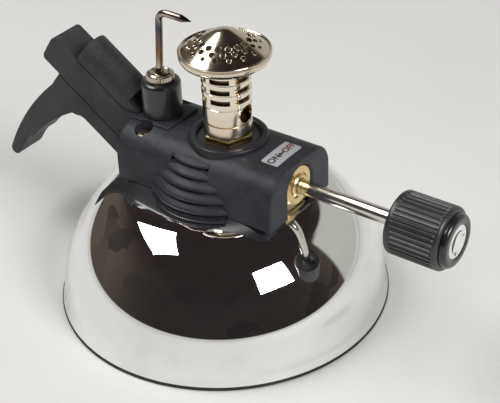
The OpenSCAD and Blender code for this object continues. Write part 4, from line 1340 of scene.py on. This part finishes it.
@dataclass
class Springs:
    """The igniter's and the filling valve's coil springs."""

    wire: float = 0.25
    steps: int = 20
    igniter_r: float = 2.0
    igniter_turns: float = 6.25
    igniter_lo: float = 46.3
    igniter_hi: float = 57.0
    igniter_n: float = 21.1
    igniter_travel: float = 6.05
    play: float = 0.05
    fill_turns: float = 4.25
    fill_travel: float = 1.55

    def coil(self, radius: float, turns: float, height: float) -> Form:
        """Wind a round wire upwards round Z.

        Args:
            radius: Radius of the wire's centre line.
            turns: Number of turns.
            height: Height between the ends of the centre line.

        Returns:
            The closed form.
        """
        ring = arc((radius, 0), self.wire, 0, 324, 9)
        return Form.revolve(ring, round(self.steps * turns), 360 * turns, rise=height)

    def igniter(self) -> None:
        """Make the igniter's spring."""
        lay, n = Arm().lay(), self.igniter_n
        height = self.igniter_hi - self.igniter_lo - self.wire - self.play
        form = self.coil(self.igniter_r, self.igniter_turns, height)
        thing = form.place(Lay.ENDWISE.value).shift(x=self.igniter_lo, y=n).place(lay).close().piece(
            "igniter_coil", "spring_steel", "piezo_spring")
        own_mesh(thing)

    def filling(self) -> None:
        """Make the filling valve's spring."""
        low, high = (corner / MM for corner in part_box("fill_valve_spring"))
        height = high.z - low.z - 2 * self.wire
        form = self.coil((high.y - low.y) / 2 - self.wire, self.fill_turns, height)
        thing = form.shift(x=(low.x + high.x) / 2 - AXIS, z=low.z + self.wire).piece(
            "filling_coil", "spring_steel", "fill_valve_spring")
        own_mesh(thing)

    def build(self) -> None:
        """Make both springs."""
        self.igniter()
        self.filling()


@dataclass
class Valve:
    """Brass valve body, gland, spindle and knob."""

    z: float = 40.9
    body_r: float = 4.9
    gland_r: float = 3.1
    spindle_r: float = 2.0
    knob_x: float = 53.8
    knob_len: float = 14.4
    knob_r: float = 8.1
    ribs: int = 40
    rib_deep: float = 0.35
    flange: float = 1.7
    band: float = 1.4
    ring_r: float = 6.9
    ring_len: float = 1.7
    disc_r: float = 4.3
    foot_x: Point = (22.6, 24.1)
    foot_half: float = 5.3
    foot_z: float = 34.3
    body_x: float = -8.0
    gland_x: float = 22.0
    spindle_x: float = 6.9
    disc_sink: float = 0.56
    print_sink: float = 0.21
    print_t: float = 0.03
    print_r: float = 2.9

    def brass(self) -> Form:
        """Turned body with its boss, neck stub and outlet."""
        b = self.body_r
        profile = [(0, 0), (b - 0.3, 0), (b, 0.3), (b, 30.2), (b - 0.5, 30.6), (b - 0.5, 31.0), (b, 31.3),
                   (b, 32.0), (5.35, 32.0), (5.35, 32.8), (5.15, 33.0), (3.6, 33.0), (3.4, 32.6), (0, 32.6)]
        form = Form.revolve(profile, 72).along_x(self.body_x, self.z)
        form.add(Form.revolve([(0, 31), (4.5, 31), (4.5, 36), (6, 36), (6, 40.9), (0, 40.9)], 64))
        outlet = [(0, 40.9), (6.2, 40.9), (6.2, 45.1), (4.8, 45.1), (4.8, 53.2), (0, 53.2)]
        form.add(Form.revolve(outlet, 64).shift(x=Burner.x))
        foot = Form.block(self.foot_x, (-self.foot_half, self.foot_half), (self.foot_z, self.z))
        return form.add(foot.bevel(*BROKEN_EDGE))

    def gland(self) -> Form:
        """Gland ring round the spindle."""
        g, i = self.gland_r, self.spindle_r + 0.05
        profile = [(i, 0), (g, 0), (g, 3.3), (g - 0.35, 3.7), (i + 0.25, 3.7), (i, 3.5)]
        return Form.revolve(profile, 64).along_x(self.gland_x, self.z)

    def spindle(self) -> Form:
        """Ground spindle with its needle."""
        r = self.spindle_r
        profile = [(0, 0), (0.4, 0), (0.8, 2.6), (r - 0.2, 2.6), (r, 2.9), (r, 55.3), (0, 55.3)]
        return Form.revolve(profile, 64).along_x(self.spindle_x, self.z)

    def knob(self) -> Form:
        """Knob with straight ribs between a plain flange and a plain band."""
        r, n = self.knob_r, self.knob_len
        low, high = self.flange, n - self.band
        profile = [(2.04, 8.1), (2.04, 0.2), (2.3, 0), (r - 0.8, 0)] + arc((r - 0.8, 0.8), 0.8, -90, 0, 6)
        profile += [(r, low - 0.25), (r, low + 0.05), (r, low + 0.5)]
        profile += [(r, low + (high - low) * k / 4) for k in (1, 2, 3)]
        profile += [(r, high - 0.5), (r, high - 0.05), (r, high + 0.25)]
        profile += arc((r - 1.1, n - 1.1), 1.1, 0, 90, 8) + [(0, n), (0, 8.1)]
        form = Form.revolve(profile, 10 * self.ribs)
        for vert in form.mesh.verts:
            radius = math.hypot(vert.co.x, vert.co.y)
            if low < vert.co.z < high and radius > r - 0.01:
                phase = (math.degrees(math.atan2(vert.co.y, vert.co.x)) * self.ribs / 360) % 1
                groove = max(0.0, math.cos(2 * math.pi * phase)) ** 0.6
                vert.co.xy *= (r - self.rib_deep * groove) / radius
        return form.along_x(self.knob_x, self.z)

    def ring(self) -> Form:
        """Smooth front ring round the disc, with a thin groove behind it."""
        r, n, d = self.ring_r, self.ring_len, self.disc_r
        profile = [(0, 0.04), (r - 0.35, 0.04), (r - 0.35, 0.2), (r, 0.3)]
        profile += arc((r - 1.1, n - 1.1), 1.1, 0, 90, 10)
        profile += [(d + 0.3, n), (d + 0.06, n - 0.15), (d + 0.06, n - 0.6), (0, n - 0.6)]
        return Form.revolve(profile, 120).along_x(self.knob_x + self.knob_len, self.z)

    def face_x(self) -> float:
        """Place of the front ring's face."""
        return self.knob_x + self.knob_len + self.ring_len

    def disc(self) -> Form:
        """White disc with a rounded edge."""
        r = self.disc_r
        profile = [(0, 0), (r, 0), (r, 0.25), (r - 0.1, 0.33), (r - 0.3, 0.35), (0, 0.35)]
        return Form.revolve(profile, 96).along_x(self.face_x() - self.disc_sink, self.z)

    def mark(self) -> Form:
        """Printed crescent of the turn, with its plus and minus."""
        steps = 30
        outer = arc((0, 0), self.print_r, 50, 235, steps)
        inner = []
        for k, (u, v) in enumerate(outer):
            wide = 0.12 + 0.5 * math.sin(math.pi * min(1.0, 1.15 * k / steps) ** 1.6)
            share = 1 - 2 * wide / self.print_r
            inner.append((u * share, v * share))
        form = Form.prism(outer + inner[::-1], 0, self.print_t)
        for u, v, wide, high in ((-0.9, -2.9, 0.55, 0.14), (-0.9, -2.9, 0.14, 0.55), (2.6, 0.5, 0.55, 0.14)):
            form.add(Form.block((u - wide, u + wide), (v - high, v + high), (0, self.print_t)))
        return form.place(Lay.ALONG_X.value).shift(self.face_x() - self.print_sink, 0, self.z)

    def build(self) -> None:
        """Make the valve's pieces."""
        self.brass().piece("valve_brass_body", "brass", "valve_body")
        self.gland().piece("valve_gland", "brass", "gland_nut")
        for name, form, slot, node, finish in (
                ("valve_spindle_rod", self.spindle(), "spindle_steel", "valve_stem", None),
                ("knob_ribbed", self.knob(), "knob_plastic", "knob", None),
                ("knob_front_ring", self.ring(), "ring_plastic", "knob_ring", None),
                ("knob_white_disc", self.disc(), "disc_plastic", "knob_disc", None),
                ("knob_mark", self.mark(), "disc_plastic", None, Finishes.print_dark)):
            form.piece(name, slot, node, Body.SPINDLE, MOULDED_SHARP, finish=finish)


@dataclass
class Studio:
    """Camera, lights, world and table."""

    azimuth: float = 36.864
    elevation: float = 34.119
    roll: float = -2.284
    distance: float = 344.125
    target: Triple = (8.832, 0.9, 29.475)
    lens: float = 94.52
    table_half: float = 0.5
    sweep_middle: float = math.radians(92)
    sweep_half: float = math.radians(54)
    sweep_top: float = math.sin(math.radians(34))
    sweep_tint: Colour = (0.5, 0.5, 0.46)
    paper_tint: Colour = (0.62, 0.62, 0.59)
    room_pale: Colour = (0.105, 0.085, 0.068)
    room_dark: Colour = (0.028, 0.023, 0.022)
    room_black: Colour = (0.016, 0.013, 0.015)
    room_top: Colour = (0.025, 0.018, 0.018)
    softboxes: tuple[tuple[str, Triple, Triple, Point, float], ...] = (
        ("softbox_left", (-0.42, -0.21, 0.77), (0.488, 0.178, -0.854), (0.66, 0.30), 5.3),
        ("softbox_right", (0.687, -0.128, 0.568), (-0.92, 0.347, -0.185), (0.363, 0.297), 6.0))

    def camera(self) -> None:
        """Camera at the photograph's angle."""
        a, e, roll = (math.radians(v) for v in (self.azimuth, self.elevation, self.roll))
        back = Vector((math.sin(a) * math.cos(e), -math.cos(a) * math.cos(e), math.sin(e)))
        right = Vector((math.cos(a), math.sin(a), 0))
        up = back.cross(right)
        turned = right * math.cos(roll) + up * math.sin(roll)
        upright = up * math.cos(roll) - right * math.sin(roll)
        place = (Vector(self.target) + Vector((AXIS, 0, 0)) + back * self.distance) * MM
        data = bpy.data.cameras.new("camera")
        data.lens = self.lens
        data.sensor_width = 36
        data.sensor_fit = "HORIZONTAL"
        data.clip_start, data.clip_end = 0.01, 60
        camera = link("camera", data)
        camera.matrix_world = Matrix((
            (turned.x, upright.x, back.x, place.x), (turned.y, upright.y, back.y, place.y),
            (turned.z, upright.z, back.z, place.z), (0, 0, 0, 1)))
        bpy.context.scene.camera = camera

    def softbox(self, name: str, place: Triple, faces: Triple, size: Point, power: float) -> None:
        """An upright rectangular softbox.

        Args:
            name: Name of the lamp.
            place: Its middle in metres.
            faces: Direction that it shines in.
            size: Width and height in metres.
            power: Power in watts.
        """
        data = bpy.data.lights.new(name, "AREA")
        data.shape = "RECTANGLE"
        data.size, data.size_y = size
        data.energy = power
        facing = Vector(faces).to_track_quat("-Z", "Y").to_matrix().to_4x4()
        link(name, data).matrix_world = Matrix.Translation(place) @ facing

    def world(self) -> None:
        """Dim brown room with a pale sweep behind the burner, and the table's colour below the horizon."""
        world = bpy.data.worlds.new("room")
        bpy.context.scene.world = world
        world.use_nodes = True
        shade = Shade(world.node_tree)
        where = shade.node("ShaderNodeTexCoord").outputs["Generated"]
        height = shade.axis("Z", where)
        x, y = shade.axis("X", where), shade.axis("Y", where)
        around = y.maths("ARCTAN2", x)
        away = around.maths("SUBTRACT", self.sweep_middle).maths("ABSOLUTE")
        sweep = (1 - away.ramp(self.sweep_half - 0.03, self.sweep_half + 0.03)) \
            * (1 - height.ramp(self.sweep_top - 0.03, self.sweep_top + 0.03))
        grid = shade.node("ShaderNodeCombineXYZ", {}, {"X": around * 1.9, "Y": height * 2.6}).outputs[0]
        boxes = shade.node("ShaderNodeTexVoronoi", {"distance": "CHEBYCHEV", "voronoi_dimensions": "2D"},
                           {"Vector": grid, "Scale": 1.6, "Randomness": 0.9})
        tone = shade.axis("X", boxes.outputs["Color"])
        front = x * math.sin(math.radians(self.azimuth)) - y * math.cos(math.radians(self.azimuth))
        wall = shade.blend(front.ramp(-0.5, 0.75), self.room_pale, self.room_dark)
        wall = shade.blend(tone.ramp(0.55, 0.75) * 0.55, wall, self.room_black)
        room = shade.blend(height.ramp(0.35, 0.75), wall, self.room_top)
        seen = shade.blend(sweep, room, self.sweep_tint)
        seen = shade.blend(height.ramp(-0.012, 0.006), self.paper_tint, seen)
        glow = shade.node("ShaderNodeBackground", {}, {"Color": seen, "Strength": 1.0})
        shade.node("ShaderNodeOutputWorld", {}, {"Surface": glow.outputs[0]})

    def table(self) -> None:
        """Pale table top."""
        bm = bmesh.new()
        bmesh.ops.create_grid(bm, x_segments=24, y_segments=24, size=self.table_half)
        mesh = bpy.data.meshes.new("table")
        bm.to_mesh(mesh)
        bm.free()
        mesh.materials.append(Finishes.table.material())
        link("table", mesh)

    def build(self) -> None:
        """Set up the studio."""
        self.camera()
        self.table()
        self.world()
        for row in self.softboxes:
            self.softbox(*row)
        bpy.context.scene.view_settings.view_transform = "Standard"


def dress_nodes() -> None:
    """Give each node of the frame the finish of its material slot."""
    for row in frame["record"]["subparts"]:
        node = frame["nodes"][row["node"]]
        finish = getattr(Finishes, row["material_slot"])
        node.data.materials.clear()
        node.data.materials.append(finish.material())


def main() -> None:
    """Build the studio and every sub-assembly in order."""
    logging.basicConfig(level=logging.INFO, format="%(name)s: %(message)s")
    Studio().build()
    dress_nodes()
    for assembly in (Tank(), Housing(), Label(), Burner(), Electrode(), Arm(), Springs(), Valve()):
        assembly.build()


if __name__ == "__main__":
    main()
